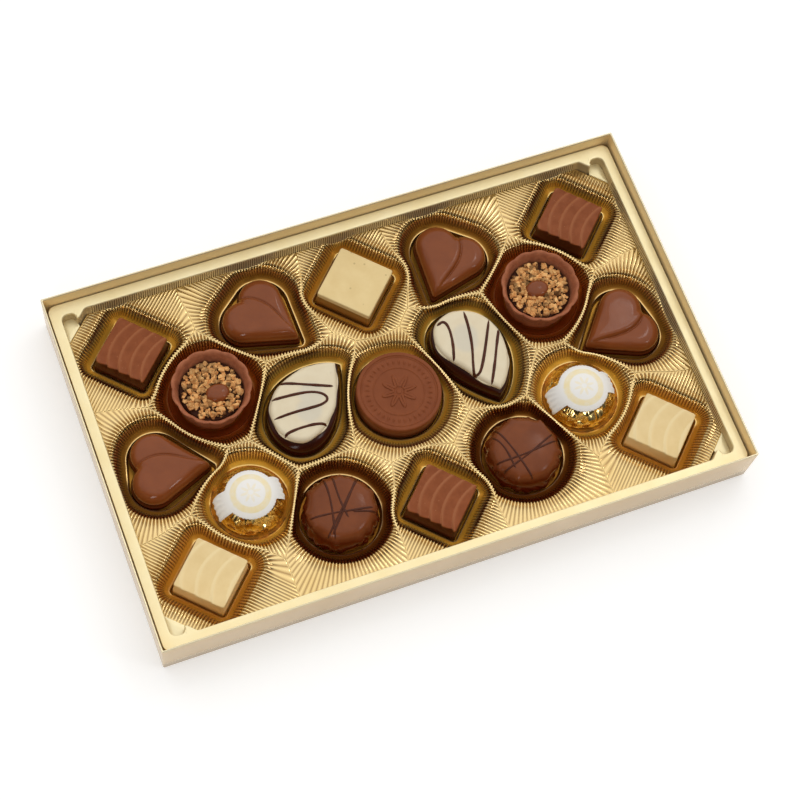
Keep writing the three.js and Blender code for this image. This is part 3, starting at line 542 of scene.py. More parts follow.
def add_bump(tree, shader, height, distance, strength=1.0):
    """A bump of a given depth in metres."""
    bump = tree.nodes.new("ShaderNodeBump")
    bump.inputs["Strength"].default_value = strength
    bump.inputs["Distance"].default_value = distance
    tree.links.new(height, bump.inputs["Height"])
    tree.links.new(bump.outputs["Normal"], shader.inputs["Normal"])


def read_mark(tree, name):
    """A value stored per point on the mesh."""
    node = tree.nodes.new("ShaderNodeAttribute")
    node.attribute_name = name
    return node.outputs["Fac"]


print("node groups:", len(bpy.data.node_groups))

# %% Metals, board and paper
FOLD_LOW, FOLD_HIGH = 25.2 * MM, 26.0 * MM
FACET_SCALE, FACET_LEAN = 330.0, 0.8


def make_gold_sheet():
    """Metallised sheet: a pale-gold mirror, satin where it is drawn deep; painted in are amber shade and
    reflection deep in the funnels, light where the lit mark is, and shade in the grooves.
    """
    material, tree, shader, place = start_material("gold_sheet")
    clouds = use_group(tree, CLOUDS, place, Scale=60.0)
    drawn, lit = read_mark(tree, "drawn"), read_mark(tree, "lit")
    pale = mix_colour(tree, clouds, srgb(238, 211, 153), srgb(231, 201, 139))
    # Deep in a funnel the amber is painted shade and gold-on-gold reflection; the lit mark mixes in a
    # brighter gold, which is painted light.
    bright = mix_colour(tree, stretch(tree, lit, 0.66, 0.7), srgb(236, 196, 78), srgb(240, 178, 62))
    deep = mix_colour(tree, lit, mix_colour(tree, drawn, pale, srgb(202, 136, 52)), bright)
    # The groove mark darkens the hollows between the ribs: painted shade.
    colour = mix_colour(tree, read_mark(tree, "groove_shade"), deep, srgb(112, 66, 14))
    tree.links.new(colour, shader.inputs["Base Color"])
    tree.links.new(stretch(tree, drawn, 0, 1, 0.11, 0.42), shader.inputs["Roughness"])
    tree.links.new(stretch(tree, lit, 0, 1, 1.0, 0.35), shader.inputs["Metallic"])
    add_bump(tree, shader, noise_in(tree, place, 700.0, 2.0), 1.2e-5)
    return material


def make_gold_rim():
    """The same sheet where it is stretched flat over the edge of the mould, with a satin surface."""
    material, tree, shader, place = start_material("gold_rim")
    clouds = use_group(tree, CLOUDS, place, Scale=60.0)
    pale = mix_colour(tree, clouds, srgb(248, 235, 191), srgb(244, 228, 178))
    # The groove mark darkens the fluted wall below the rim: painted shade.
    colour = mix_colour(tree, read_mark(tree, "groove_shade"), pale, srgb(120, 72, 20))
    tree.links.new(colour, shader.inputs["Base Color"])
    tree.links.new(stretch(tree, clouds, 0, 1, 0.36, 0.42), shader.inputs["Roughness"])
    shader.inputs["Metallic"].default_value = 0.5
    add_bump(tree, shader, noise_in(tree, place, 700.0, 2.0), 1.2e-5)
    return material


def make_gold_board():
    """Gold-laminated board: a satin film over paper fibre, paler where the top fold is rubbed; inside it is
    paler and less metallic, and the paler gold there is painted light.
    """
    material, tree, shader, place = start_material("gold_board")
    clouds = use_group(tree, CLOUDS, place, Scale=35.0)
    outside = mix_colour(tree, clouds, srgb(226, 200, 158), srgb(219, 191, 146))
    within = read_mark(tree, "within")
    # The inside takes a paler gold than the outside: painted light on the inner walls.
    film = mix_colour(tree, within, outside, srgb(252, 222, 164))
    split = tree.nodes.new("ShaderNodeSeparateXYZ")
    tree.links.new(place, split.inputs[0])
    fold = stretch(tree, split.outputs["Z"], FOLD_LOW, FOLD_HIGH)
    tree.links.new(mix_colour(tree, fold, film, srgb(240, 226, 190)), shader.inputs["Base Color"])
    tree.links.new(stretch(tree, clouds, 0, 1, 0.2, 0.26), shader.inputs["Roughness"])
    tree.links.new(stretch(tree, within, 0, 1, 0.55, 0.2), shader.inputs["Metallic"])
    add_bump(tree, shader, noise_in(tree, place, 2600.0, 3.0), 1.5e-5)
    return material


def make_gold_foil():
    """Thin gold foil: a sharp gold mirror, broken into flat facets that each lean their own way."""
    material, tree, shader, place = start_material("gold_foil")
    clouds = use_group(tree, CLOUDS, place, Scale=260.0)
    tree.links.new(mix_colour(tree, clouds, srgb(246, 220, 152), srgb(206, 164, 88)),
                   shader.inputs["Base Color"])
    tree.links.new(stretch(tree, clouds, 0, 1, 0.12, 0.2), shader.inputs["Roughness"])
    shader.inputs["Metallic"].default_value = 1.0
    facets = tree.nodes.new("ShaderNodeTexVoronoi")
    facets.inputs["Scale"].default_value = FACET_SCALE
    tree.links.new(place, facets.inputs["Vector"])
    tilt, reach, height = (tree.nodes.new("ShaderNodeVectorMath") for _ in range(3))
    tilt.operation, reach.operation, height.operation = "SUBTRACT", "SUBTRACT", "DOT_PRODUCT"
    tree.links.new(facets.outputs["Color"], tilt.inputs[0])
    tilt.inputs[1].default_value = (0.5, 0.5, 0.5)
    tree.links.new(place, reach.inputs[0])
    tree.links.new(facets.outputs["Position"], reach.inputs[1])
    tree.links.new(tilt.outputs[0], height.inputs[0])
    tree.links.new(reach.outputs[0], height.inputs[1])
    add_bump(tree, shader, height.outputs["Value"], 1.0, FACET_LEAN)
    return material


def make_label_paper():
    """White paper with a pale-gold ring and a faint rosette printed on it."""
    material, tree, shader, place = start_material("label_paper")
    worn = stretch(tree, use_group(tree, CLOUDS, place, Scale=420.0), 0, 1, 0.55, 1.0)
    printed = calculate(tree, "MULTIPLY", read_mark(tree, "print"), worn)
    tree.links.new(mix_colour(tree, printed, srgb(242, 240, 236), srgb(243, 226, 176)),
                   shader.inputs["Base Color"])
    shader.inputs["Roughness"].default_value = 0.5
    add_bump(tree, shader, noise_in(tree, place, 1800.0, 3.0), 2e-5)
    return material


GOLD_SHEET = make_gold_sheet()
GOLD_RIM = make_gold_rim()
GOLD_BOARD = make_gold_board()
GOLD_FOIL = make_gold_foil()
LABEL_PAPER = make_label_paper()
print("metal, board and paper finishes:", len(bpy.data.materials))

# %% Chocolates, nuts and coats
def make_chocolate(name, light, deep, rough, gloss=0.16, scale=140.0, grain=1.2e-5, flecks=None,
                   tint=None, crest_highlight=None):
    """Two close shades in soft clouds, with flecks; the tint shows where the mark named side is 1, and the
    crest colour where the crest mark is 1. The tint is painted shade on the lower sides of most pieces, and
    the crest colour is a painted highlight along ridges.
    """
    material, tree, shader, place = start_material(name)
    clouds = use_group(tree, CLOUDS, place, Scale=scale)
    colour = mix_colour(tree, clouds, light, deep)
    if flecks:
        spots = use_group(tree, FLECKS, place, Scale=flecks[0], Size=flecks[1])
        colour = mix_colour(tree, spots, colour, flecks[2])
    if crest_highlight:
        colour = mix_colour(tree, read_mark(tree, "crest_highlight"), colour, crest_highlight)
    if tint:
        colour = mix_colour(tree, read_mark(tree, "side"), colour, tint)
    tree.links.new(colour, shader.inputs["Base Color"])
    tree.links.new(stretch(tree, clouds, 0, 1, rough - 0.03, rough + 0.05), shader.inputs["Roughness"])
    shader.inputs["Specular IOR Level"].default_value = gloss
    add_bump(tree, shader, noise_in(tree, place, 2200.0, 3.0), grain)
    return material


# The tint is painted shade on the foot and low side of each heart.
MILK = make_chocolate("milk_chocolate", srgb(133, 69, 31), srgb(126, 64, 28), 0.14, 0.3,
                      tint=srgb(72, 20, 3))
# The tint is painted shade on the walls, and the crest colour a painted highlight along the ridges.
MILK_RIDGED = make_chocolate("ridged_milk_chocolate", srgb(143, 77, 40), srgb(130, 67, 32), 0.4, 0.16,
                             scale=220.0, flecks=(420.0, 0.12, srgb(164, 104, 66)), tint=srgb(80, 34, 14),
                             crest_highlight=srgb(160, 98, 62))
# The tint is painted shade on the medallion's side.
MILK_MATT = make_chocolate("matt_milk_chocolate", srgb(135, 72, 38), srgb(126, 65, 33), 0.36, 0.16,
                           tint=srgb(46, 14, 5))
CUP_SHELL = make_chocolate("cup_chocolate", srgb(178, 111, 78), srgb(150, 88, 61), 0.5, 0.12, scale=300.0,
                           grain=5e-5)
DARK = make_chocolate("dark_chocolate", srgb(60, 20, 6), srgb(48, 15, 4), 0.16, 0.14)
# The tint is painted shade on the truffle's lower side.
GLAZE = make_chocolate("dipped_milk_chocolate", srgb(125, 66, 33), srgb(112, 57, 27), 0.2, 0.2,
                       tint=srgb(86, 28, 5))
THREAD = make_chocolate("thread_chocolate", srgb(80, 36, 16), srgb(68, 30, 12), 0.3, 0.2)
# The crest colour is a painted highlight along the comb's ridges.
CREAM = make_chocolate("cream_chocolate", srgb(236, 211, 158), srgb(230, 203, 148), 0.42, 0.1,
                       tint=srgb(238, 206, 148), crest_highlight=srgb(240, 218, 168))
# The tint on the walls below the top slab is painted shade and a painted reflection of the gold pocket.
WHITE = make_chocolate("white_chocolate", srgb(238, 213, 158), srgb(232, 205, 148), 0.42, 0.1,
                       flecks=(150.0, 0.1, srgb(204, 178, 126)), tint=srgb(150, 108, 52))
IVORY = make_chocolate("ivory_coat", srgb(232, 219, 190), srgb(226, 211, 180), 0.36,
                       tint=srgb(206, 202, 190))
# The tint is the dark colour of the bed and of the darker nuts; on the bed it also paints the shade in the
# gaps between nuts.
NUT = make_chocolate("chopped_nut", srgb(252, 204, 136), srgb(216, 148, 84), 0.5, 0.08, scale=420.0,
                     grain=5e-5, tint=srgb(56, 27, 14))
BUTTON = make_chocolate("button_chocolate", srgb(133, 69, 32), srgb(121, 61, 27), 0.16, 0.3)
FILLING = make_chocolate("praline_filling", srgb(120, 76, 46), srgb(104, 62, 36), 0.55)
print("finishes in all:", len(bpy.data.materials))

# %% [markdown]
# ## The gold insert: one cell for each pocket
# The insert is a thin gold sheet drawn down over a mould. Round each pocket the sheet is pressed into
# fine ribs that run square to the pocket's edge, over the mouth and down the funnel. Where the ribs of
# two pockets meet they form a seam like a herring-bone. So the sheet is made of cells: each cell is all
# that lies nearer to its own pocket than to any other. Along each normal of the pocket's outline the
# seam is found by halving, and the sheet's height is a profile of the distance: floor, wall, shelf,
# funnel and land.

# %% Cells of the insert
LAND, FLOOR, SHEET = 12.2, 1.7, 0.5
LAND_X, LAND_Y, LAND_CORNER = 132.99, 79.52, 200.6
LIP_OUT, LIP_UP = 0.9, 3.7
SHELF_OUT, SHELF_UP, FUNNEL_OUT, FUNNEL_CURVE, UNDERSIDE = 3.4, 5.6, 8.6, 1.8, 0.9
RIB_PITCH, RIB_SPREAD, RIB_POINTS = 1.42, 7.0, 6
RIB_LAND, RIB_MOUTH, RIB_LOW, RIB_FADE, RIB_DECAY = 0.16, 0.46, 0.15, 0.7, 1.2
FOOT_OUT, FOOT_USUAL = {"nut_cup": -3.2, "foil_ball": -5.0}, 0.6
NEIGHBOUR, SEAM_FAR, HALVINGS = 90, 60.0, 15
LIT = {"milk_square": 1.0, "cream_square": 0.45, "foil_ball": 0.65, "white_square": 0.8, "petal": 0.7,
       "medallion": 0.7, "heart": 0.25}
# Drawn values of the rows round the lip: low values make the lip paler and glossier; the paler colour is a
# painted highlight along the lip.
LIP_DRAWN = np.array([1.0, 1.0, 1.0, 0.8, 0.3, 0.1, 0.1, 0.4, 0.9, 1.0, 1.0])


def seam_distance(name, edge, normal):
    """How far out along each normal another pocket becomes as near as this one, by halving."""
    _, x, y, _ = PLAN[name]
    others = [REACHES[other] for other, (_, ox, oy, _) in PLAN.items()
              if other != name and np.hypot(ox - x, oy - y) < NEIGHBOUR]
    near, far = np.zeros(len(edge)), np.full(len(edge), SEAM_FAR)
    for _ in range(HALVINGS):
        middle = (near + far) / 2
        spots = edge + middle[:, None] * normal
        own = np.min([distance_to(spots, reach) for reach in others], 0) > middle
        near, far = np.where(own, middle, near), np.where(own, far, middle)
    return near


def wall_distance(edge, normal):
    """How far out along each normal the land ends, at the straight walls or the cut corners."""
    slant = np.sqrt(0.5)
    corners = [(a * slant, b * slant) for a in (-1, 1) for b in (-1, 1)]
    sides = np.array([(1, 0), (-1, 0), (0, 1), (0, -1), *corners])
    limit = np.array([LAND_X, LAND_X, LAND_Y, LAND_Y, *[LAND_CORNER * slant] * 4])
    speed = normal @ sides.T
    room = limit - edge @ sides.T
    return np.where(speed > 1e-4, room / np.maximum(speed, 1e-4), 1e3).min(1)


def smooth(value):
    """A soft step from 0 to 1."""
    value = np.clip(value, 0, 1)
    return value * value * (3 - 2 * value)


def quarter_round(value):
    """A rise from 0 to 1 like a quarter circle, steep at first and level at the end."""
    return np.sqrt(np.clip(1 - (1 - np.clip(value, 0, 1)) ** 2, 0, 1))


def cell_skin(name):
    """One cell, ribbed on top and plain underneath, with marks for its depth, its painted light and the
    painted shade in its grooves.
    """
    kind = PLAN[name][0]
    floor = FLOOR + LIFTS.get(kind, 0.0)
    shelf_z = floor + SHELF_UP
    ribs = int(round(length_of(PLACED[name], RIB_SPREAD) / RIB_PITCH))
    count = ribs * RIB_POINTS
    edge, normal = outline_of(PLACED[name], count, RIB_SPREAD)
    seam = seam_distance(name, edge, normal)
    end = np.minimum(seam, wall_distance(edge, normal))
    mouth = np.minimum(FUNNEL_OUT, seam - 0.2)
    lip = np.minimum(LIP_OUT, 0.25 * end)
    shelf = np.minimum(SHELF_OUT, 0.5 * end)
    foot = np.minimum(FOOT_OUT.get(kind, FOOT_USUAL), lip - 0.1)
    turn = np.minimum(mouth, end - 0.2)

    def height(out):
        """Funnel: falls from the land to the shelf, gently at the mouth and steeply further in."""
        share = np.clip((out - shelf) / (mouth - shelf), 0, 1)
        return shelf_z + (LAND - shelf_z) * (1 - (1 - share) ** FUNNEL_CURVE)

    ledge, lip_z = shelf - lip, floor + LIP_UP
    low = [(foot - 0.5, floor), (foot, floor + 0.15), (0.7 * foot + 0.3 * lip, floor + 1.4),
           (0.2 * foot + 0.8 * lip, lip_z - 0.8), (lip, lip_z - 0.15), (lip + 0.05 * ledge, lip_z + 0.08),
           (lip + 0.12 * ledge, lip_z + 0.16), (lip + 0.22 * ledge, lip_z + 0.2),
           (lip + 0.36 * ledge, lip_z + 0.34), (lip + 0.68 * ledge, 0.48 * lip_z + 0.52 * shelf_z),
           (lip + 0.94 * ledge, 0.1 * lip_z + 0.9 * shelf_z)]
    outs = [shelf + (turn - shelf) * t for t in np.linspace(0, 1, 12)]
    fade = np.minimum(RIB_FADE, 0.4 * (end - turn))
    outs += [turn + (end - fade - turn) * t for t in (0.12, 0.3, 0.6, 1.0)]
    outs += [end - 0.5 * fade, end]
    out = np.array(outs)
    z = height(out)
    slope = (height(out + 0.02) - height(out - 0.02)) / 0.04
    share = np.clip((out - shelf) / (mouth - shelf), 0, 1)
    deep = RIB_LOW + (RIB_MOUTH - RIB_LOW) * share ** 0.7
    flat = RIB_LAND + (RIB_MOUTH - RIB_LAND) * np.exp(-np.maximum(out - mouth, 0) / RIB_DECAY)
    size = np.where(out < mouth, deep, flat) * smooth((end - out) / RIB_FADE)
    size *= np.clip((end - shelf) / 3.0, 0.3, 1)
    wave = 2 * np.abs(np.cos(np.pi * np.arange(count) / RIB_POINTS)) - 1
    lean = np.sqrt(1 + slope ** 2)
    side = out - size * wave * slope / lean
    top_xy = edge + side[..., None] * normal
    top = np.concatenate([top_xy, (z + size * wave / lean)[..., None]], -1)

    def plain(out, z):
        """A row without ribs, at a distance from the pocket's edge and a height."""
        return at_height(edge + np.broadcast_to(out, (count,))[:, None] * normal, z)

    inner = np.array([plain(o, h) for o, h in low])
    half = shelf + 0.5 * (turn - shelf)
    under = np.array([plain(foot, floor - SHEET), plain(np.minimum(shelf + 0.6, end), shelf_z - UNDERSIDE),
                      plain(np.minimum(half + 0.5, end), height(half) - UNDERSIDE),
                      plain(end, height(end) - UNDERSIDE)])
    rings = np.concatenate([under, top[::-1], inner[::-1]])
    drawn = 1 - smooth((out - shelf) / (0.6 * (mouth - shelf)))
    # How dark the hollows between ribs are painted: painted shade.
    groove_shade = (0.5 - 0.5 * wave) ** 1.1 * np.clip(size / 0.24, 0, 1)

    def per_point(values, ends, within):
        """Values of the top's rows and of the rows within; plain ones for the rows below and the poles."""
        rows = [np.full((len(under), count), ends), values[::-1], np.repeat(within[::-1, None], count, 1)]
        return np.concatenate([np.concatenate(rows).ravel(), [ends, ends]])

    depth = per_point(drawn, 1.0, LIP_DRAWN)
    return closed_skin(rings), {"drawn": depth, "lit": depth * LIT.get(kind, 0.0),
                                "groove_shade": per_point(groove_shade, 0.0, 0 * LIP_DRAWN)}


cells = {name: cell_skin(name) for name in PLAN}
for name, (skin, marks) in cells.items():
    add_piece(f"insert_cell_{name}", [skin], "insert", [f"pocket_{name}"], GOLD_SHEET, marks)
print("insert cells:", len(cells), "triangles:", faces_of([skin for skin, _ in cells.values()]))

# %% [markdown]
# ## The rim of the insert
# The rim is a flat gold frame with a fluted wall under its inner edge. At each corner the edge turns
# down to a small tongue beside a rounded recess. The frame is a profile carried round a path: the path
# of one corner is drawn with rounded corners and mirrored to the other three.

# %% Rim frame
RIM = 18.7
RIM_X, RIM_Y, RIM_CORNER = 138.1, 85.0, 3.5
WALL_LEAN = 0.4
WALL_X, WALL_Y = LAND_X + WALL_LEAN, LAND_Y + WALL_LEAN
RECESS_Y, RECESS_LOW, RECESS_BEND = 79.3, 67.6, 3.0
TONGUE = [(127.2, RECESS_Y, 2.2), (126.4, 75.4, 0.8), (121.9, WALL_Y, 2.5)]
FLUTE_PITCH, FLUTE_POINTS, FLUTE_DEEP = 1.05, 5, 0.2
FLUTED_X, FLUTED_Y, ARC_POINTS = 119, 66, 12


def lengths_along(line):
    """How far along a line each of its points lies."""
    return np.concatenate([[0], np.cumsum(np.linalg.norm(np.diff(line, axis=0), axis=1))])


def points_along(line, count):
    """Points spread evenly along a line."""
    along = lengths_along(line)
    wanted = np.linspace(0, along[-1], count)
    return np.stack([np.interp(wanted, along, line[:, i]) for i in range(2)], -1)


def rounded_path(corners, step):
    """A path through corners (x, y, radius), each rounded by an arc, with points one step apart."""
    xy = np.array([c[:2] for c in corners])
    pieces = [xy[:1]]
    for before, corner, after, radius in zip(xy, xy[1:], xy[2:], [c[2] for c in corners[1:]]):
        back = (before - corner) / np.linalg.norm(before - corner)
        on = (after - corner) / np.linalg.norm(after - corner)
        half = np.arccos(np.clip(back @ on, -1, 1)) / 2
        centre = corner + (back + on) / np.linalg.norm(back + on) * radius / np.sin(half)
        start = corner + back * radius / np.tan(half) - centre
        end = corner + on * radius / np.tan(half) - centre
        sweep = np.arctan2(start[0] * end[1] - start[1] * end[0], start @ end)
        turn = np.linspace(0, sweep, ARC_POINTS)
        arc = np.stack([start[0] * np.cos(turn) - start[1] * np.sin(turn),
                        start[0] * np.sin(turn) + start[1] * np.cos(turn)], -1)
        pieces.append(centre + arc)
    line = np.vstack([*pieces, xy[-1:]])
    return points_along(line, int(round(lengths_along(line)[-1] / step)) + 1)


def four_corners(quarter):
    """The path of the corner at +X +Y, mirrored so that it runs once round the box."""
    flip = quarter[::-1]
    parts = [quarter[:-1], flip[:-1] * (-1, 1), quarter[:-1] * (-1, -1), flip[:-1] * (1, -1)]
    return np.vstack(parts)


def path_normals(path):
    """Normals that point to the right of a closed path, away from the box."""
    ahead = np.roll(path, -1, 0) - np.roll(path, 1, 0)
    normal = np.stack([ahead[:, 1], -ahead[:, 0]], -1)
    return normal / np.linalg.norm(normal, axis=1, keepdims=True)


def rim_skin():
    """The frame from its outer edge over the flat top and down the fluted wall, and marks of painted shade in
    the flutes.
    """
    quarter = rounded_path([(WALL_X, 0, 0), (WALL_X, RECESS_Y, RECESS_BEND), *TONGUE, (0, WALL_Y, 0)],
                           FLUTE_PITCH / FLUTE_POINTS)
    bend_x, bend_y = WALL_X - RECESS_BEND, RECESS_Y - RECESS_BEND
    turn = np.flatnonzero((quarter[:, 0] > bend_x) & (quarter[:, 1] > bend_y))
    outer = np.where((np.arange(len(quarter)) < turn[0])[:, None],
                     np.stack([np.full(len(quarter), RIM_X), quarter[:, 1]], -1),
                     np.stack([quarter[:, 0], np.full(len(quarter), RIM_Y)], -1))
    corner = rounded_path([(RIM_X, bend_y, 0), (RIM_X, RIM_Y, RIM_CORNER), (bend_x, RIM_Y, 0)], 0.05)
    outer[turn] = corner[np.linspace(0, len(corner) - 1, len(turn)).round().astype(int)]
    inside, outside = four_corners(quarter), four_corners(outer)
    normal = path_normals(inside)
    straight = (np.abs(inside[:, 0]) < FLUTED_X) | (np.abs(inside[:, 1]) < FLUTED_Y)
    wave = np.cos(2 * np.pi * np.arange(len(inside)) / FLUTE_POINTS) * straight

    def across(share, z):
        """A row part of the way from the inner edge to the outer one."""
        return at_height(inside + share * (outside - inside), z)

    def wall(z, out=0.0, flute=0.0):
        """A row of the leaning inner wall, moved out and fluted."""
        lean = out - WALL_LEAN * (RIM - z) / (RIM - LAND)
        return at_height(inside + (lean + flute * wave)[:, None] * normal, z)

    rows = [across(1.0, RIM - 0.5), across(1.0, RIM - 0.1), across(0.985, RIM)]
    rows += [across(share, RIM) for share in (0.96, 0.75, 0.5, 0.25)]
    rows += [wall(RIM, 0.5), wall(RIM - 0.06, 0.2), wall(RIM - 0.25, 0.05), wall(RIM - 0.7)]
    first = len(rows)
    rows += [wall(z, 0.0, FLUTE_DEEP) for z in (RIM - 1.3, RIM - 3.2, RIM - 5.2, LAND)]
    rows += [wall(LAND - 2.5, 0.0, FLUTE_DEEP / 2)]
    last = len(rows)
    rows += [wall(LAND - 5.5), wall(LAND - 5.5, 0.5), wall(LAND - 0.5, 0.6)]
    rows += [wall(RIM - 1.2, 0.6), across(0.3, RIM - 0.5)]
    groove_shade = np.zeros((len(rows), len(inside)))
    # Painted shade: dark in the hollows of the flutes, half dark all along the curved parts of the wall.
    groove_shade[first:last] = np.where(straight, (0.5 + 0.5 * wave) ** 1.5, 0.5)
    return ring_skin(np.array(rows[::-1])), groove_shade[::-1].ravel()


def recess_skin(x_sign, y_sign):
    """The floor of one corner recess: a slab a little above the land with a softened edge."""
    side, top = WALL_X - WALL_LEAN, RECESS_Y - 0.2
    path = rounded_path([(side, RECESS_LOW, 0), (side, top, 2.6), (127.3, top, 2.0), (126.0, 74.5, 0),
                         (side, RECESS_LOW, 0)], 0.4)[:-1]
    path = path * (x_sign, y_sign)
    path = path[::-1] if x_sign * y_sign < 0 else path
    middle = path.mean(0)
    levels = [(1.0, 11.0), (1.0, 13.0), (0.985, 13.15), (0.95, 13.2)]
    return closed_skin(np.array([at_height(middle + s * (path - middle), z) for s, z in levels]))


rim, rim_groove_shade = rim_skin()
add_piece("insert_rim_frame", [rim], "insert", ["insert_rim", "insert_step"], GOLD_RIM,
          {"groove_shade": rim_groove_shade})
recesses = [recess_skin(a, b) for a in (-1, 1) for b in (-1, 1)]
add_piece("insert_corner_floors", recesses, "insert", ["insert_step"], GOLD_RIM)
print("rim triangles:", faces_of([rim]), "corner floors:", len(recesses))

# %% [markdown]
# ## The carton
# The carton is one sheet of gold board, scored and folded up into four walls with a rolled top edge.
# Its section is carried round a rectangle: under the floor, up the outside, over the fold and down to
# the floor inside.

# %% Carton tray
CARTON_NODES = ["carton_floor", *[f"carton_wall_{side}" for side in ("front", "back", "left", "right")]]
CARTON_X, CARTON_Y, CARTON_Z = np.max([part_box(node)[1] for node in CARTON_NODES], 0) / MM
BOARD, LEAN = 0.9, 0.65


def rectangle_ring(half_x, half_y, corner, z, per_side=24):
    """A rectangle with small round corners, with points along its sides as well."""
    turn = np.linspace(0, np.pi / 2, 7)
    arc = np.stack([np.cos(turn), np.sin(turn)], -1) * corner + (half_x - corner, half_y - corner)
    up = np.linspace(0, half_y - corner, per_side, endpoint=False)
    back = np.linspace(half_x - corner, 0, per_side + 1)[1:]
    start = np.column_stack([np.full(per_side, half_x), up])
    end = np.column_stack([back, np.full(per_side, half_y)])
    return at_height(four_corners(np.vstack([start, arc, end])), z)


def carton_skin():
    """Rings from under the floor, up the outside, over the fold and down the inside, which is marked for a
    paler, less metallic film; the paler gold is painted light.
    """
    def ring(z, wall, corner):
        """A ring of the leaning wall at a height, some way into the board."""
        back = (CARTON_Z - z) * LEAN / CARTON_Z + wall
        return rectangle_ring(CARTON_X - back, CARTON_Y - back, corner, z)

    top = CARTON_Z - BOARD / 2
    outside = [(0.0, 0.9, 0.4), (0.12, 0.3, 0.6), (0.6, 0.0, 0.7), (8.0, 0.0, 0.7), (18.0, 0.0, 0.7),
               (top, 0.0, 0.7)]
    turns = np.linspace(0, np.pi, 9)[1:-1]
    fold = [(top + BOARD / 2 * np.sin(t), BOARD / 2 * (1 - np.cos(t)), 0.6) for t in turns]
    inside = [(top, BOARD, 0.5), (12.0, BOARD, 0.5), (BOARD + 0.5, BOARD, 0.5),
              (BOARD + 0.1, BOARD + 0.2, 0.5), (BOARD, BOARD + 0.7, 0.5)]
    rings = np.array([ring(*level) for level in outside + fold + inside])
    within = np.repeat([0.0] * len(outside + fold) + [1.0] * len(inside), rings.shape[1])
    return closed_skin(rings), np.concatenate([within, [0, 1]])


carton, carton_inner_painted_light = carton_skin()
add_piece("carton_folded_board", [carton], "carton", CARTON_NODES, GOLD_BOARD,
          {"within": carton_inner_painted_light})
print("carton triangles:", faces_of([carton]))

# %% [markdown]
# ## Square pralines
# A square praline is cast in a mould and its top is combed in curved waves while it is soft, which also
# leaves its front-left edge wavy. The rings are rounded squares that shrink towards the middle, and the
# height of the top is a wave of one direction bent by the square of the other.

# %% Squares
SQUARE_UP, SQUARE_POINTS = 12.0, 240
COMB_RISE, COMB_FALL = 0.82, 0.18


def square_rings(side, waves, depth, bend):
    """Rings of a rounded square: draughted sides, an eased edge and a combed top."""
    edge, _ = outline_of(square_band(side, SQUARE_CORNER), SQUARE_POINTS)
    half = side / 2

    def phase_of(xy):
        """How far through its wave of the comb a point lies, from 0 to 1."""
        u, v = xy[..., 0] / half, xy[..., 1] / half
        return (waves * (v + bend * u * u) / 2 + 0.3) % 1

    def ring(scale, z, share):
        """A ring whose top is combed; share is how much of the comb it takes, and the edge at -u most."""
        xy = edge * scale
        u, phase = xy[:, 0] / half, phase_of(xy)
        hollow = share * (1 - smooth(np.where(phase < COMB_RISE, phase / COMB_RISE, (1 - phase) / COMB_FALL)))
        end = smooth((-u - 0.5) / 0.5)
        z = z - depth * hollow * (0.55 + 0.65 * end)
        xy[:, 0] += 0.9 * depth * hollow * end ** 2
        return at_height(xy, z)

    lean = 1 - 0.5 / half
    rows = [ring(0.97, 0, 0), ring(1.0, 0.35, 0), ring(0.5 + lean / 2, SQUARE_UP / 2, 0)]
    rows += [ring(lean, SQUARE_UP - down, share) for down, share in
             ((4.2, 0.1), (3.4, 0.25), (2.6, 0.45), (1.8, 0.7), (1.1, 0.9), (0.5, 1.0))]
    rows += [ring(lean * 0.994, SQUARE_UP - 0.22, 1), ring(lean * 0.98, SQUARE_UP - 0.06, 1)]
    rows += [ring(lean * s, SQUARE_UP, 1) for s in np.linspace(0.96, 0.02, 36)]
    rows = np.array(rows)
    return rows, np.exp(-((phase_of(rows[..., :2]) - 0.9) / 0.13) ** 2)


def add_square(name, material, slot, waves, depth, bend, side, slab):
    """One square; its mark named side is 1 on the walls below the top slab."""
    rings, crest_highlight = square_rings(side, waves, depth, bend)
    skin = closed_skin(rings)
    # The side mark gives the walls their tint, painted shade on the milk and white squares; the crest mark
    # carries a painted highlight along the ridges.
    marks = {"side": smooth((SQUARE_UP - slab - skin[0][:, 2]) / 0.3),
             "crest_highlight": np.concatenate([crest_highlight.ravel(), [0, 0]])}
    add_piece(f"{name}_body", [seated(skin, name)], name, [name], material, marks)


SQUARES = {
    "milk_square": (MILK_RIDGED, "milk_chocolate", 4.6, 0.8, 0.28, SQUARE_SIDE, 0.8),
    "cream_square": (CREAM, "cream_chocolate", 3.4, 0.4, 0.3, SQUARE_SIDE, 0.8),
    "white_square": (WHITE, "white_chocolate", 2.0, 0.06, 0.1, WHITE_SIDE, 2.6),
}
for name, (kind, *_) in PLAN.items():
    if kind in SQUARES:
        add_square(name, *SQUARES[kind])
print("squares:", sum("square" in entry[0] for entry in PLAN.values()))

# %% [markdown]
# ## Hearts
# Each heart is one cast praline on a stepped foot, with one leaf lapped over the other. The rings follow
# the heart's outline, which dips in at the notch. The top is a dome of the distance from the outline, and
# it lies a little lower outside the edge of the upper leaf.

# %% Hearts
HEART_UP, HEART_FOOT, HEART_STEP = 12.0, 4.2, 0.7
LEAF_FOOT, LEAF_ROUND, LEAF_SWELL = 5.0, 7.5, 2.6
LEAF_LOBE, LAP_ROUND, LAP_DOWN, LAP_AWAY = 10.6, 2.2, 0.12, 4.5
GROOVE_DEEP, GROOVE_WIDE = 0.05, 0.5
HEART_POINTS, HEART_SOFT = 420, 8


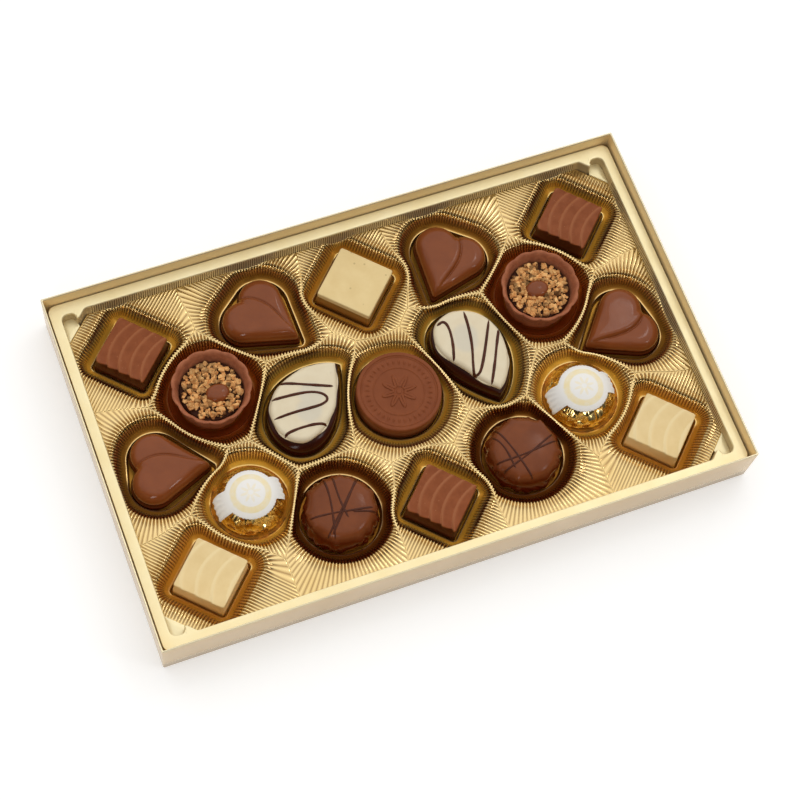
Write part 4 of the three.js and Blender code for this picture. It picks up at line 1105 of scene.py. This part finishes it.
def heart_radius(angle, trim):
    """Reach of the heart's outline in a direction: straight sides from the tip, then the two lobes."""
    turn = np.abs(np.arctan2(np.sin(angle), np.cos(angle)))
    lobe, tip = LEAF_LOBE - trim, HEART_LENGTH / 2 - 1.5 * trim
    lobe_x, lobe_y = LEAF_LOBE - HEART_LENGTH / 2, HEART_WIDTH / 2 - LEAF_LOBE
    to_tip = np.hypot(tip - lobe_x, lobe_y)
    normal = np.pi / 2 - np.arctan2(lobe_y, tip - lobe_x) - np.arcsin(lobe / to_tip)
    straight = tip * np.cos(normal) / np.maximum(np.cos(turn - normal), 1e-3)
    touch = np.arctan2(lobe_y + lobe * np.sin(normal), lobe_x + lobe * np.cos(normal))
    reach = np.hypot(lobe_x, lobe_y)
    offset = turn - np.arctan2(lobe_y, lobe_x)
    round_side = reach * np.cos(offset) + np.sqrt(np.maximum(lobe ** 2 - (reach * np.sin(offset)) ** 2, 0))
    return np.where(turn < touch, straight, round_side)


def soften(values, width):
    """A closed row of values averaged over its neighbours, which rounds sharp tips and notches."""
    kernel = np.hanning(2 * width + 3)[1:-1]
    kernel /= kernel.sum()
    wrapped = np.concatenate([values[-width:], values, values[:width]])
    return np.convolve(wrapped, kernel, "valid")


CREASE_KNOTS = np.array([(-20, -4.0), (-17, -0.8), (-14, 1.8), (-10, 3.9), (-5, 4.8), (0, 4.4), (5, 3.2),
                         (10, 1.7), (15, 0.6), (19, 0)])
CREASE = Polynomial.fit(CREASE_KNOTS[:, 0], CREASE_KNOTS[:, 1], 5)


def leaf_depth(xy):
    """How far a point lies inside the upper leaf, measured square to the crease that bounds it."""
    slope = CREASE.deriv()(xy[..., 0])
    return (CREASE(xy[..., 0]) - xy[..., 1]) / np.sqrt(1 + slope ** 2)


def heart_rings():
    """Rings of the heart: an upright foot, a small groove and two domed leaves, one lapped on the other."""
    angle, around = circle(HEART_POINTS)
    foot = soften(heart_radius(angle, 0.0), HEART_SOFT)
    body = soften(heart_radius(angle, HEART_STEP), HEART_SOFT)

    def flat(radius, z):
        """A level ring."""
        return at_height(around * radius[:, None], z)

    def dome(depth):
        """Rises from 0 at a leaf's edge to 1 at its crown, like a squarish quarter circle."""
        return (1 - (1 - np.clip(depth / LEAF_ROUND, 0, 1)) ** LEAF_SWELL) ** (1 / LEAF_SWELL)

    rows = [flat(foot - 0.6, 0), flat(foot - 0.15, 0.2), flat(foot, 0.6),
            flat(foot - 0.05, HEART_FOOT - 0.4), flat(foot - 0.25, HEART_FOOT - 0.05),
            flat(body - 0.1, HEART_FOOT + 0.1), flat(body - 0.15, LEAF_FOOT - 0.3)]
    for share in np.concatenate([[1.0, 0.998], np.linspace(0.993, 0.7, 30), np.linspace(0.685, 0.02, 46)]):
        xy = around * (body * share)[:, None]
        inward = (1 - share) * body
        inside = leaf_depth(xy)
        lap = quarter_round((inside + 0.3) / LAP_ROUND)
        slack = LAP_DOWN * np.exp(-np.maximum(-inside, 0) / LAP_AWAY) * (1 - lap)
        slack += GROOVE_DEEP * np.exp(-((inside + 0.5) / GROOVE_WIDE) ** 2)
        fade = 1 - 0.7 * smooth((xy[:, 0] - 6) / 8)
        sink = fade * (LAP_DOWN * (1 - lap) + slack)
        rows.append(at_height(xy, LEAF_FOOT + (HEART_UP - LEAF_FOOT) * dome(inward) * (1 - sink)))
    return np.array(rows)


HEART = closed_skin(heart_rings())
# Painted shade: the mark that darkens the foot and low side of each heart.
HEART_SIDE_SHADE = smooth((LEAF_FOOT + 2.4 - HEART[0][:, 2]) / 2.4)
for name, (kind, *_) in PLAN.items():
    if kind == "heart":
        add_piece(f"{name}_body", [seated(HEART, name)], name, [name], MILK,
                  {"side": HEART_SIDE_SHADE})
print("heart triangles:", faces_of([HEART]))

# %% [markdown]
# ## The medallion
# A flat disc of milk chocolate with a moulded top: a border, two fine rings, a circle of beads and a
# plain rosette in the middle. All of the relief is a height that depends on the distance from the middle
# and on the angle.

# %% Medallion
MEDALLION_UP, MEDALLION_POINTS = 10.5, 480
BEADS, BEAD_RING, LEAVES = 36, 14.4, 8


def medallion_skin():
    """Rings of a disc; the top is raised by fine rings, beads and an eight-leaved rosette."""
    outer, up = MEDALLION_R, MEDALLION_UP
    angle, around = circle(MEDALLION_POINTS)

    def bump(value, middle, width):
        """A soft hill of height 1."""
        return np.exp(-((value - middle) / width) ** 2)

    def relief(r):
        """Height of the moulding all round at one distance from the middle."""
        beads = bump(r, BEAD_RING, 0.9) * np.clip(np.cos(BEADS * angle), 0, 1)
        leaf = 0.5 + 0.5 * np.cos(LEAVES * angle)
        petals = smooth((3.6 + 5.0 * leaf - r) / 0.7) * smooth((r - 2.0) / 0.5)
        vein = bump(np.sin(LEAVES / 2 * angle) * r, 0, 0.35) * smooth((7.5 - r) / 2)
        return (0.45 * smooth((r - 17.4) / 0.4) + 0.28 * bump(r, 17.0, 0.25) + 0.3 * bump(r, 11.6, 0.3)
                + 0.5 * beads + petals * (0.5 - 0.28 * vein) + 0.4 * smooth((1.5 - r) / 0.5))

    def ring(r, z):
        """A round ring at a height."""
        return at_height(around * r, z)

    field = up - 0.5
    rows = [ring(outer - 0.7, 0), ring(outer - 0.1, 0.3), ring(outer, 0.8), ring(outer - 0.35, up - 1.0),
            ring(outer - 0.5, up - 0.35), ring(outer - 0.75, up - 0.1)]
    reaches = np.concatenate([np.arange(18.6, 9.0, -0.16), np.arange(9.0, 0.2, -0.22)])
    rows += [ring(r, field + relief(r)) for r in reaches]
    return closed_skin(np.array(rows))


medallion = medallion_skin()
# The side mark darkens the medallion's side below its top: painted shade.
add_piece("medallion_body", [seated(medallion, "medallion")], "medallion", ["medallion"],
          MILK_MATT, {"side": smooth((9.4 - medallion[0][:, 2]) / 0.8)})
print("medallion triangles:", faces_of([medallion]))

# %% [markdown]
# ## Lines of drizzle
# Thin chocolate is trickled over the petals and truffles. A drizzle line is a tube: a flat round section
# carried along a path that lies on the praline's top, thinned to a point at both ends.

# %% Drizzle tubes
def smooth_path(knots, count=90):
    """A rounded path through a few knots: corners are cut four times, then points are spread evenly."""
    line = np.array(knots, float)
    for _ in range(4):
        near, far = 0.75 * line[:-1] + 0.25 * line[1:], 0.25 * line[:-1] + 0.75 * line[1:]
        line = np.vstack([line[:1], np.stack([near, far], 1).reshape(-1, 2), line[-1:]])
    return points_along(line, count)


def drizzle_skin(path, top, width, up):
    """A tube with an oval section along a path on a surface whose height is a function of the plan."""
    ahead = np.gradient(path, axis=0)
    ahead /= np.linalg.norm(ahead, axis=1, keepdims=True)
    side = np.stack([ahead[:, 1], -ahead[:, 0]], -1)
    share = np.linspace(0, 1, len(path))
    taper = np.sqrt(np.clip(np.minimum(share, 1 - share) / 0.05, 0.02, 1))
    swell = 1 + 0.1 * np.sin(11 * share) + 0.04 * np.sin(29 * share + 1)
    turn, _ = circle(12)
    across = (width / 2 * taper * swell)[:, None] * np.cos(turn)
    lift = (up * taper)[:, None] * np.sin(turn)
    xy = path[:, None, :] + across[..., None] * side[:, None, :]
    z = top(xy) + lift
    return closed_skin(np.concatenate([xy, z[..., None]], -1))


print("drizzle helper ready")

# %% [markdown]
# ## Petals
# A petal is a dark base with a thick ivory coat poured over it, and dark lines drizzled on top. The coat
# is a dome of the distance from its outline, so the lines can use the same height and lie right on it. On
# one side of each petal the coat stops short, and the base slopes away bare.

# %% Petals
PETAL_BASE_UP, PETAL_DRAFT, PETAL_POINTS = 8.8, 1.1, 300
COAT_LOW, COAT_UP, COAT_IN, COAT_ROUND, COAT_DEEPEST = 9.1, 12.5, 1.95, 2.2, 12
COAT_BARE, BARE_DOWN, BARE_SIDE = 1.9, 2.9, {"petal_left": -148, "petal_right": -63}
PETAL_REACH = reach_of(BANDS["petal"])


def bare_share(xy, name):
    """1 towards the side where the coat leaves the base bare, falling to 0 a quarter turn away."""
    side = np.radians(BARE_SIDE[name])
    ahead = xy @ np.array([np.cos(side), np.sin(side)])
    return np.clip(ahead / np.maximum(np.linalg.norm(xy, axis=-1), 1e-6), 0, 1) ** 2


def coat_height(xy, name):
    """Height of the coat's top: a small round near the outline that runs into a nearly flat top."""
    room = -distance_to(xy, PETAL_REACH) - COAT_IN - COAT_BARE * bare_share(xy, name)
    inside = np.clip(room, 0, COAT_DEEPEST)
    rise = quarter_round(inside / COAT_ROUND)
    return COAT_LOW + 1.0 + (COAT_UP - COAT_LOW - 1.3) * rise + 0.3 * np.clip(inside / COAT_DEEPEST, 0, 1)


def petal_rings(name):
    """Rings of the base and of the coat."""
    edge, _ = outline_of(BANDS["petal"], PETAL_POINTS, 2.0)
    around = edge / np.linalg.norm(edge, axis=1, keepdims=True)
    toward = np.maximum(around @ UNIT.T, 0.02)

    def within(inset):
        """Plan of the outline drawn in by an inset: on each ray, the nearest of the drawn-in sides."""
        room = PETAL_REACH - np.broadcast_to(inset, (PETAL_POINTS,))[:, None]
        return around * (room / toward).min(1)[:, None]

    def at(inset, z):
        """A ring of the drawn-in outline at a height."""
        return at_height(within(inset), z)

    bare = bare_share(around, name)
    base = [at(0.6, 0), at(0.15, 0.25), at(0.0, 0.7), at(0.5 * PETAL_DRAFT, 4.5 - BARE_DOWN * 0.4 * bare),
            at(PETAL_DRAFT, 8.2 - BARE_DOWN * bare), at(PETAL_DRAFT + 0.2, 8.65 - BARE_DOWN * bare),
            at(PETAL_DRAFT + 0.6, PETAL_BASE_UP - 0.9 * BARE_DOWN * bare),
            at(COAT_IN + 0.8 + COAT_BARE * bare, PETAL_BASE_UP)]
    turn, _ = circle(PETAL_POINTS)
    ripple = 0.28 * np.sin(5 * turn + 1) + 0.2 * np.sin(9 * turn + 2.5)
    run = COAT_IN - 0.1 + ripple + COAT_BARE * bare
    coat = [at(run + 0.5, COAT_LOW - 0.2), at(run + 0.05, COAT_LOW + 0.1), at(run, COAT_LOW + 0.8)]
    start = within(run + 0.02)
    for share in np.concatenate([np.linspace(0.998, 0.9, 14), np.linspace(0.87, 0.02, 24)]):
        coat.append(at_height(start * share, coat_height(start * share, name)))
    return np.array(base), np.array(coat)


DRIZZLE = {
    "petal_left": [
        [(-52, 19), (-46, 17.5), (-38, 14), (-27.5, 9.8)],
        [(-58.5, 12), (-53, 12), (-45, 11.5), (-38, 10.5), (-33, 8), (-31.5, 4.8), (-34.5, 3), (-41, 3),
         (-50, 3.4), (-59.5, 2.8)],
        [(-57.5, -7.2), (-55, -5.2), (-48, -4.6), (-40, -5), (-34.5, -7.6)],
    ],
    "petal_right": [
        [(28, 23), (31.5, 24.4), (33, 21), (32, 13), (29.5, 5), (27.5, 0.5)],
        [(42.3, 26), (41.8, 19), (40, 9), (36.2, -2), (35.4, -6), (38.2, -5.6), (42, 0), (47, 9),
         (52, 18.5)],
        [(54.6, 12.5), (51, 6), (46.5, -3), (41.5, -12)],
    ],
}
PETAL_LINE_WIDE, PETAL_LINE_UP = 1.3, 0.45
SMUDGES = {"petal_left": [(2.5, 2.5), (-4.8, -0.6)], "petal_right": [(-8.3, 2.2), (-6.0, 1.0)]}
SMUDGE_R, SMUDGE_SOFT, SMUDGE_SHARE = 7.2, 3.0, 0.5


def on_plan(points, name):
    """Points of the box's plan in a praline's own plan."""
    _, x, y, turn = PLAN[name]
    c, s = np.cos(np.radians(turn)), np.sin(np.radians(turn))
    dx, dy = points[..., 0] - x, points[..., 1] - y
    return np.stack([c * dx + s * dy, -s * dx + c * dy], -1)


def on_coat(path, edge):
    """A path on the coat: its ends stop at the coat's edge, and a bend beyond it is drawn in."""
    turn, away = np.arctan2(edge[:, 1], edge[:, 0]), np.linalg.norm(edge, axis=1)
    room = np.interp(np.arctan2(path[:, 1], path[:, 0]), turn, away, period=2 * np.pi)
    share = room / np.maximum(np.linalg.norm(path, axis=1), 1e-6)
    kept = np.flatnonzero(share >= 1)
    keep = slice(kept[0], kept[-1] + 1)
    return path[keep] * np.minimum(share[keep], 1)[:, None]


for name, lines in DRIZZLE.items():
    base_rings, coat_rings = petal_rings(name)
    base, coat = closed_skin(base_rings), closed_skin(coat_rings)
    spots = np.linalg.norm(coat[0][:, None, :2] - np.array(SMUDGES[name]), axis=-1).min(1)
    smudge = SMUDGE_SHARE * smooth((SMUDGE_R - spots) / SMUDGE_SOFT) * (coat[0][:, 2] > 10)
    add_piece(f"{name}_dark_base", [seated(base, name)], name, [f"{name}_base"], DARK)
    add_piece(f"{name}_ivory_coat", [seated(coat, name)], name, [f"{name}_coat"], IVORY,
              {"side": smudge})
    tubes = []
    for knots in lines:
        path = on_coat(smooth_path(on_plan(np.array(knots, float), name)), coat_rings[2][:, :2])
        tube = drizzle_skin(path, lambda xy: coat_height(xy, name), PETAL_LINE_WIDE, PETAL_LINE_UP)
        tubes.append(seated(tube, name))
    add_piece(f"{name}_drizzle", tubes, name, None, THREAD)
print("petals with", sum(len(v) for v in DRIZZLE.values()), "drizzle lines")

# %% [markdown]
# ## Truffles
# A truffle is a soft dome dipped in glossy chocolate, with crushed nuts under the coat that make its
# side lumpy. Each nut is a small round hill at a drawn place, a slow drift bends the whole side, and thin
# lines cross on top.

# %% Truffles
TRUFFLE_UP, TRUFFLE_ROWS, TRUFFLE_POINTS, TRUFFLE_SEED = 15.2, 56, 320, 11
TRUFFLE_SIDE = np.array([
    (0.0, 0.90), (0.02, 0.95), (0.06, 0.975), (0.14, 0.985), (0.26, 0.985), (0.4, 0.975), (0.52, 0.955),
    (0.64, 0.93), (0.74, 0.895), (0.82, 0.85), (0.88, 0.795), (0.925, 0.72), (0.955, 0.63), (0.975, 0.51),
    (0.988, 0.38), (0.995, 0.25), (0.999, 0.12), (1.0, 0.04)])
HILLS, HILL_TOP = 60, 12.5


def slow_drift(draw, angle, waves, size):
    """A drift of the radius: a few sine waves of the angle, each begun at a drawn place."""
    return sum(np.sin(n * angle + draw.uniform(0, 6.28)) / n for n in waves) * size


def truffle_rings(seed):
    """Rings of a dipped dome; each nut under the coat swells the side like a small round hill."""
    draw = np.random.default_rng(seed)
    angle, around = circle(TRUFFLE_POINTS)
    share = np.linspace(0, 1, TRUFFLE_ROWS)
    known = np.linspace(0, 1, len(TRUFFLE_SIDE))
    z = np.interp(share, known, TRUFFLE_SIDE[:, 0]) * TRUFFLE_UP
    r = np.interp(share, known, TRUFFLE_SIDE[:, 1]) * TRUFFLE_R
    turn, level = draw.uniform(0, 2 * np.pi, HILLS), draw.uniform(0, HILL_TOP, HILLS)
    size, width = draw.uniform(0.5, 1.3, HILLS), draw.uniform(1.4, 2.6, HILLS)
    away = np.abs((angle[:, None] - turn + np.pi) % (2 * np.pi) - np.pi) * TRUFFLE_R
    hills = [(size * np.exp(-(away ** 2 + (level - up) ** 2) / width ** 2)).max(1) for up in z]
    drift = slow_drift(draw, angle, (2, 3, 5, 7), 0.3)
    reach = r[:, None] - 0.7 + (np.array(hills) + drift) * np.clip(r[:, None] / 14, 0, 1)
    return np.array([at_height(around * row[:, None], up) for row, up in zip(reach, z)])


def truffle_top(rings):
    """Height of the dome's top as a function of the distance from the middle."""
    reach = np.linalg.norm(rings[..., :2], axis=-1).mean(1)
    order = np.argsort(reach)

    def height(xy):
        return np.interp(np.linalg.norm(xy, axis=-1), reach[order], rings[order, 0, 2])

    return height


TRUFFLE_LINES = {
    "truffle_left": [[(-16, -0.6), (-4, -2), (4, -3.5), (16, -4.8)], [(-3, 16), (-3.5, 4), (-7.5, -13)],
                     [(1, 15), (0, 4), (1, -6)], [(-11, -12), (0, -1), (13, 12)],
                     [(-8, -11), (2, 0), (11, 11)], [(4, -4), (15, -7)]],
    "truffle_right": [[(-16, -3), (-4, -3.5), (6, -2.5), (16, -1)], [(-10, 14), (-6, 2), (-2, -15)],
                      [(-13, 11), (-9, 4), (-8, -8)], [(-14, -8), (0, -4), (15, 2.5)]],
}
TRUFFLE_LINE_WIDE, TRUFFLE_LINE_UP = 0.9, 0.28
for index, (name, lines) in enumerate(TRUFFLE_LINES.items()):
    rings = truffle_rings(TRUFFLE_SEED + index)
    dome = closed_skin(rings)
    # The side mark darkens the dome towards its foot: painted shade.
    add_piece(f"{name}_dome", [seated(dome, name)], name, [name], GLAZE,
              {"side": smooth((13.4 - dome[0][:, 2]) / 4.0)})
    paths = [smooth_path(knots, 60) for knots in lines]
    tubes = [drizzle_skin(path, truffle_top(rings), TRUFFLE_LINE_WIDE, TRUFFLE_LINE_UP) for path in paths]
    add_piece(f"{name}_drizzle", [seated(tube, name) for tube in tubes], name, None, THREAD)
print("truffles:", len(TRUFFLE_LINES))

# %% [markdown]
# ## Nut cups
# A nut cup is a thin scalloped shell with a filling, a layer of chopped nuts and a chocolate button. The
# shell is a stack of rings with a wave of thirteen scallops. Each nut is a small block with its corners
# knocked about, and all of the nuts are placed at once as one array.

# %% Cup shells, nuts and buttons
CUP_UP, CUP_FOOT_R, CUP_POINTS, SCALLOPS, CUP_SEED = 16.3, 14.5, 390, 13, 31
CUP_LIP = [(0.2, 15.7, 0.7), (0.3, 16.1, 0.75), (0.6, CUP_UP, 0.75), (1.1, 16.2, 0.6), (1.7, 15.8, 0.45),
           (2.2, 15.0, 0.3), (2.7, 13.5, 0.2), (3.4, 11.0, 0.1)]
NUT_FLOOR, NUT_TOP, NUT_RING, NUT_COUNT, NUT_SEED = 10.5, 11.0, 14.3, 330, 41
BUTTON_R, BUTTON_UP, BUTTON_SLUMP, BUTTON_CLEAR = 4.8, 3.2, (1.16, 0.92), 4.4


def cup_skin(seed):
    """Rings of the shell: out over the foot, up the scalloped side, over the lip and down inside."""
    draw = np.random.default_rng(seed)
    angle, around = circle(CUP_POINTS)
    drift = slow_drift(draw, angle, (2, 3, 5), 0.16)
    hollow = 1 - np.abs(np.sin(SCALLOPS * angle / 2)) ** 0.8

    def ring(r, z, deep):
        """A ring at a height, with its scallops cut in to a depth."""
        reach = r - deep * hollow + drift * z / CUP_UP
        return at_height(around * reach[:, None], z)

    def side(z):
        """Radius of the leaning side at a height."""
        return CUP_FOOT_R + (CUP_R - 0.25 - CUP_FOOT_R) * z / CUP_UP

    rows = [ring(CUP_FOOT_R - 0.6, 0, 0.2), ring(CUP_FOOT_R - 0.1, 0.3, 0.2)]
    rows += [ring(side(z), z, 0.2 + 0.4 * z / CUP_UP) for z in (1.0, 4.0, 7.0, 10.0, 13.0, 15.0)]
    rows += [ring(CUP_R - back, z, deep) for back, z, deep in CUP_LIP]
    rows += [ring(CUP_FOOT_R - 1.6, 2.6, 0.0)]
    return closed_skin(np.array(rows))


def nut_skins(seed, button):
    """A dark bed and a heap of small blocks with knocked-about corners, and how dark each of them is; the
    dark bed also paints the shade in the gaps between the nuts.
    """
    draw = np.random.default_rng(seed)
    _, around = circle(96)
    bed = [(NUT_RING, NUT_FLOOR), (NUT_RING + 0.15, NUT_TOP - 0.3), (NUT_RING - 0.2, NUT_TOP), (6.0, NUT_TOP)]
    skins = [closed_skin(np.array([at_height(around * r, z) for r, z in bed]))]
    many = NUT_COUNT
    turn = np.arange(many) * np.pi * (3 - np.sqrt(5)) + draw.normal(0, 0.12, many)
    reach = (NUT_RING - 0.9) * np.sqrt((np.arange(many) + 0.5) / many)
    spot = np.stack([reach * np.cos(turn), reach * np.sin(turn)], -1)
    spot = spot[np.linalg.norm(spot - button, axis=1) > BUTTON_CLEAR]
    many = len(spot)
    square = np.array([(-1, -1), (1, -1), (1, 1), (-1, 1)], float)
    levels = [(0.72, -1.0), (1.0, -0.5), (0.95, 0.45), (0.55, 1.0)]
    block = np.array([[(x * s, y * s, z) for x, y in square] for s, z in levels])
    blocks = block + draw.normal(0, 0.17, (many, *block.shape))
    size = draw.uniform(0.45, 1.25, (many, 1, 1, 1)) * draw.uniform(0.6, 1.2, (many, 1, 1, 3))
    blocks = blocks * size
    axis = draw.normal(size=(many, 4))
    w, x, y, z = (axis / np.linalg.norm(axis, axis=1, keepdims=True)).T
    spin = np.stack([
        np.stack([1 - 2 * (y * y + z * z), 2 * (x * y - z * w), 2 * (x * z + y * w)], -1),
        np.stack([2 * (x * y + z * w), 1 - 2 * (x * x + z * z), 2 * (y * z - x * w)], -1),
        np.stack([2 * (x * z - y * w), 2 * (y * z + x * w), 1 - 2 * (x * x + y * y)], -1)], 1)
    blocks = np.einsum("nij,nrkj->nrki", spin, blocks)
    lift = NUT_TOP + draw.uniform(0.0, 1.0, many)
    blocks += np.column_stack([spot, lift])[:, None, None, :]
    skins += [closed_skin(b) for b in blocks]
    darkness = draw.uniform(0, 0.95, many) ** 2.2
    shade = np.concatenate([np.ones(len(skins[0][0])), np.repeat(darkness, len(skins[1][0]))])
    return skins, shade


def button_skin(button):
    """A small round button, slightly slumped: a foot ring, then a dome whose radius falls ever faster."""
    _, around = circle(64)
    share = np.linspace(0, 1, 16)
    dome = BUTTON_R * np.sqrt(np.clip(1 - (share * 0.995) ** 3.2, 0, 1))
    radii = np.concatenate([[BUTTON_R - 0.6], dome])
    heights = np.concatenate([[NUT_FLOOR], NUT_FLOOR + 0.4 + BUTTON_UP * share])
    rows = [at_height(around * r * BUTTON_SLUMP + button, z) for r, z in zip(radii, heights)]
    return closed_skin(np.array(rows))


BUTTONS = {"nut_cup_left": np.array([2.2, -2.2]), "nut_cup_right": np.array([-0.8, 0.4])}
for index, (name, button) in enumerate(BUTTONS.items()):
    shell = cup_skin(CUP_SEED + index)
    add_piece(f"{name}_scalloped_shell", [seated(shell, name)], name, [f"{name}_shell"],
              CUP_SHELL)
    heap, shade = nut_skins(NUT_SEED + index, button)
    nuts = [seated(skin, name) for skin in heap]
    add_piece(f"{name}_chopped_nuts", nuts, name, [f"{name}_nuts"], NUT, {"side": shade},
              rounded=False)
    disc = button_skin(button)
    add_piece(f"{name}_chocolate_button", [seated(disc, name)], name, [f"{name}_button"],
              BUTTON)
    paint_node(f"{name}_filling", FILLING)
print("nut cups:", len(BUTTONS))

# %% [markdown]
# ## Foil balls
# A ball of chocolate is wrapped in thin foil that creases more and more towards its gathered foot. The
# creases are ridges of the angle, sharpened and shifted from ring to ring. A white paper label with two
# tails is bent over the top: its outline is drawn flat and laid on the ball by walking down the profile.

# %% Foil and labels
BALL_UP, BALL_POINTS, FOIL_SEED = 16.4, 420, 51
BALL_KNOTS = np.array([(0, 1.0), (0.22, 0.985), (0.44, 0.93), (0.62, 0.84), (0.77, 0.72), (0.9, 0.56),
                       (0.985, 0.36), (0.97, 0.2), (0.88, 0.08), (0.74, 0.015), (0.63, 0.0)])
CREASES, CREASE_DEEP = 9, 0.5
LABEL_R, TAIL_HALF, TAIL_FLARE, LABEL_SEED = 12.0, 4.2, 0.13, 61
TAIL_LEFT, TAIL_RIGHT = 20.0, 16.8


def ball_profile(count=200):
    """Points down the ball's side, evenly spaced, from the top of the axis to the foot."""
    t = np.linspace(0, 1, len(BALL_KNOTS))
    fine = np.linspace(0, 1, 400)
    out = Polynomial.fit(t, BALL_KNOTS[:, 0], 7)(fine) * BALL_R
    up = Polynomial.fit(t, BALL_KNOTS[:, 1], 7)(fine) * BALL_UP
    out[0] = 0.0
    along = np.concatenate([[0], np.cumsum(np.hypot(np.diff(out), np.diff(up)))])
    wanted = np.linspace(0, along[-1], count)
    return np.interp(wanted, along, out), np.clip(np.interp(wanted, along, up), 0, BALL_UP), wanted


def foil_skin(seed):
    """Rings from the gathered foot up to the crown; creases deepen away from the crown."""
    draw = np.random.default_rng(seed)
    r, z, along = ball_profile(90)
    angle, around = circle(BALL_POINTS)
    creases = [(draw.integers(9, 46), draw.uniform(0, 6.28), draw.uniform(-0.5, 0.5)) for _ in range(CREASES)]
    rows = []
    for radius, up, walk in zip(r[::-1], z[::-1], along[::-1]):
        depth = CREASE_DEEP * smooth((walk - 9.0) / 7.0)
        folds = [np.abs(np.sin(n / 2 * angle + shift + drift * walk)) for n, shift, drift in creases]
        reach = np.maximum(radius - 0.15 - depth * (1.5 - 1.5 * (sum(folds) / CREASES)), 0.01)
        rows.append(at_height(around * reach[:, None], up))
    return closed_skin(np.array(rows), np.array([0, 0, 0.4]), np.array([0, 0, BALL_UP - 0.05]))


def label_skin(seed):
    """The flat label's outline, disc or tails, shrunk in steps and laid on the ball, with a thickness."""
    draw = np.random.default_rng(seed)
    angle, around = circle(DIRECTIONS)
    c, s = around.T
    end = np.where(c < 0, TAIL_LEFT, TAIL_RIGHT) / np.maximum(np.abs(c), 1e-6)
    strip = np.minimum(end, TAIL_HALF / np.maximum(np.abs(s) - TAIL_FLARE * np.abs(c), 1e-6))
    notch = 0.5 * np.abs(np.sin(angle * 60 + draw.uniform(0, 6))) * (np.abs(s) < 0.25)
    edge = np.maximum(strip - notch, LABEL_R + 0.12 * np.sin(48 * angle))
    r, z, along = ball_profile()
    shares = np.linspace(0.03, 1, 34)

    def lay(share, lift):
        """The outline at a share of its size, laid on the ball and lifted off it."""
        walk = share * edge
        radius, up = np.interp(walk, along, r), np.interp(walk, along, z)
        out = np.interp(walk, along, -np.gradient(z, along))
        wrinkle = 0.22 * np.sin(36 * angle + 4 * share) * smooth((walk - 12) / 4)
        reach = radius + (lift + wrinkle) * out
        return at_height(around * reach[:, None], up + lift * np.sqrt(np.clip(1 - out ** 2, 0, 1)))

    under = [lay(share, 0.1) for share in shares]
    over = [lay(share, 0.42) for share in shares[::-1]]
    walk = np.concatenate([shares, shares[::-1]])[:, None] * edge
    ring = smooth((walk - 6.3) / 0.4) * smooth((9.5 - walk) / 0.4)
    rosette = 0.5 * smooth((3.4 + 1.5 * np.cos(8 * angle) - walk) / 0.5) * smooth((walk - 1.0) / 0.4)
    return closed_skin(np.array(under + over)), np.concatenate([(ring + rosette).ravel(), [0, 0]])


BALLS = [name for name, (kind, *_) in PLAN.items() if kind == "foil_ball"]
for index, name in enumerate(BALLS):
    foil = foil_skin(FOIL_SEED + index)
    add_piece(f"{name}_crinkled_foil", [seated(foil, name)], name, [f"{name}_foil"], GOLD_FOIL)
    label, ink = label_skin(LABEL_SEED + index)
    add_piece(f"{name}_paper_label", [seated(label, name)], name, [f"{name}_label"],
              LABEL_PAPER, {"print": ink})
    paint_node(f"{name}_core", MILK)
print("foil balls:", len(BALLS))
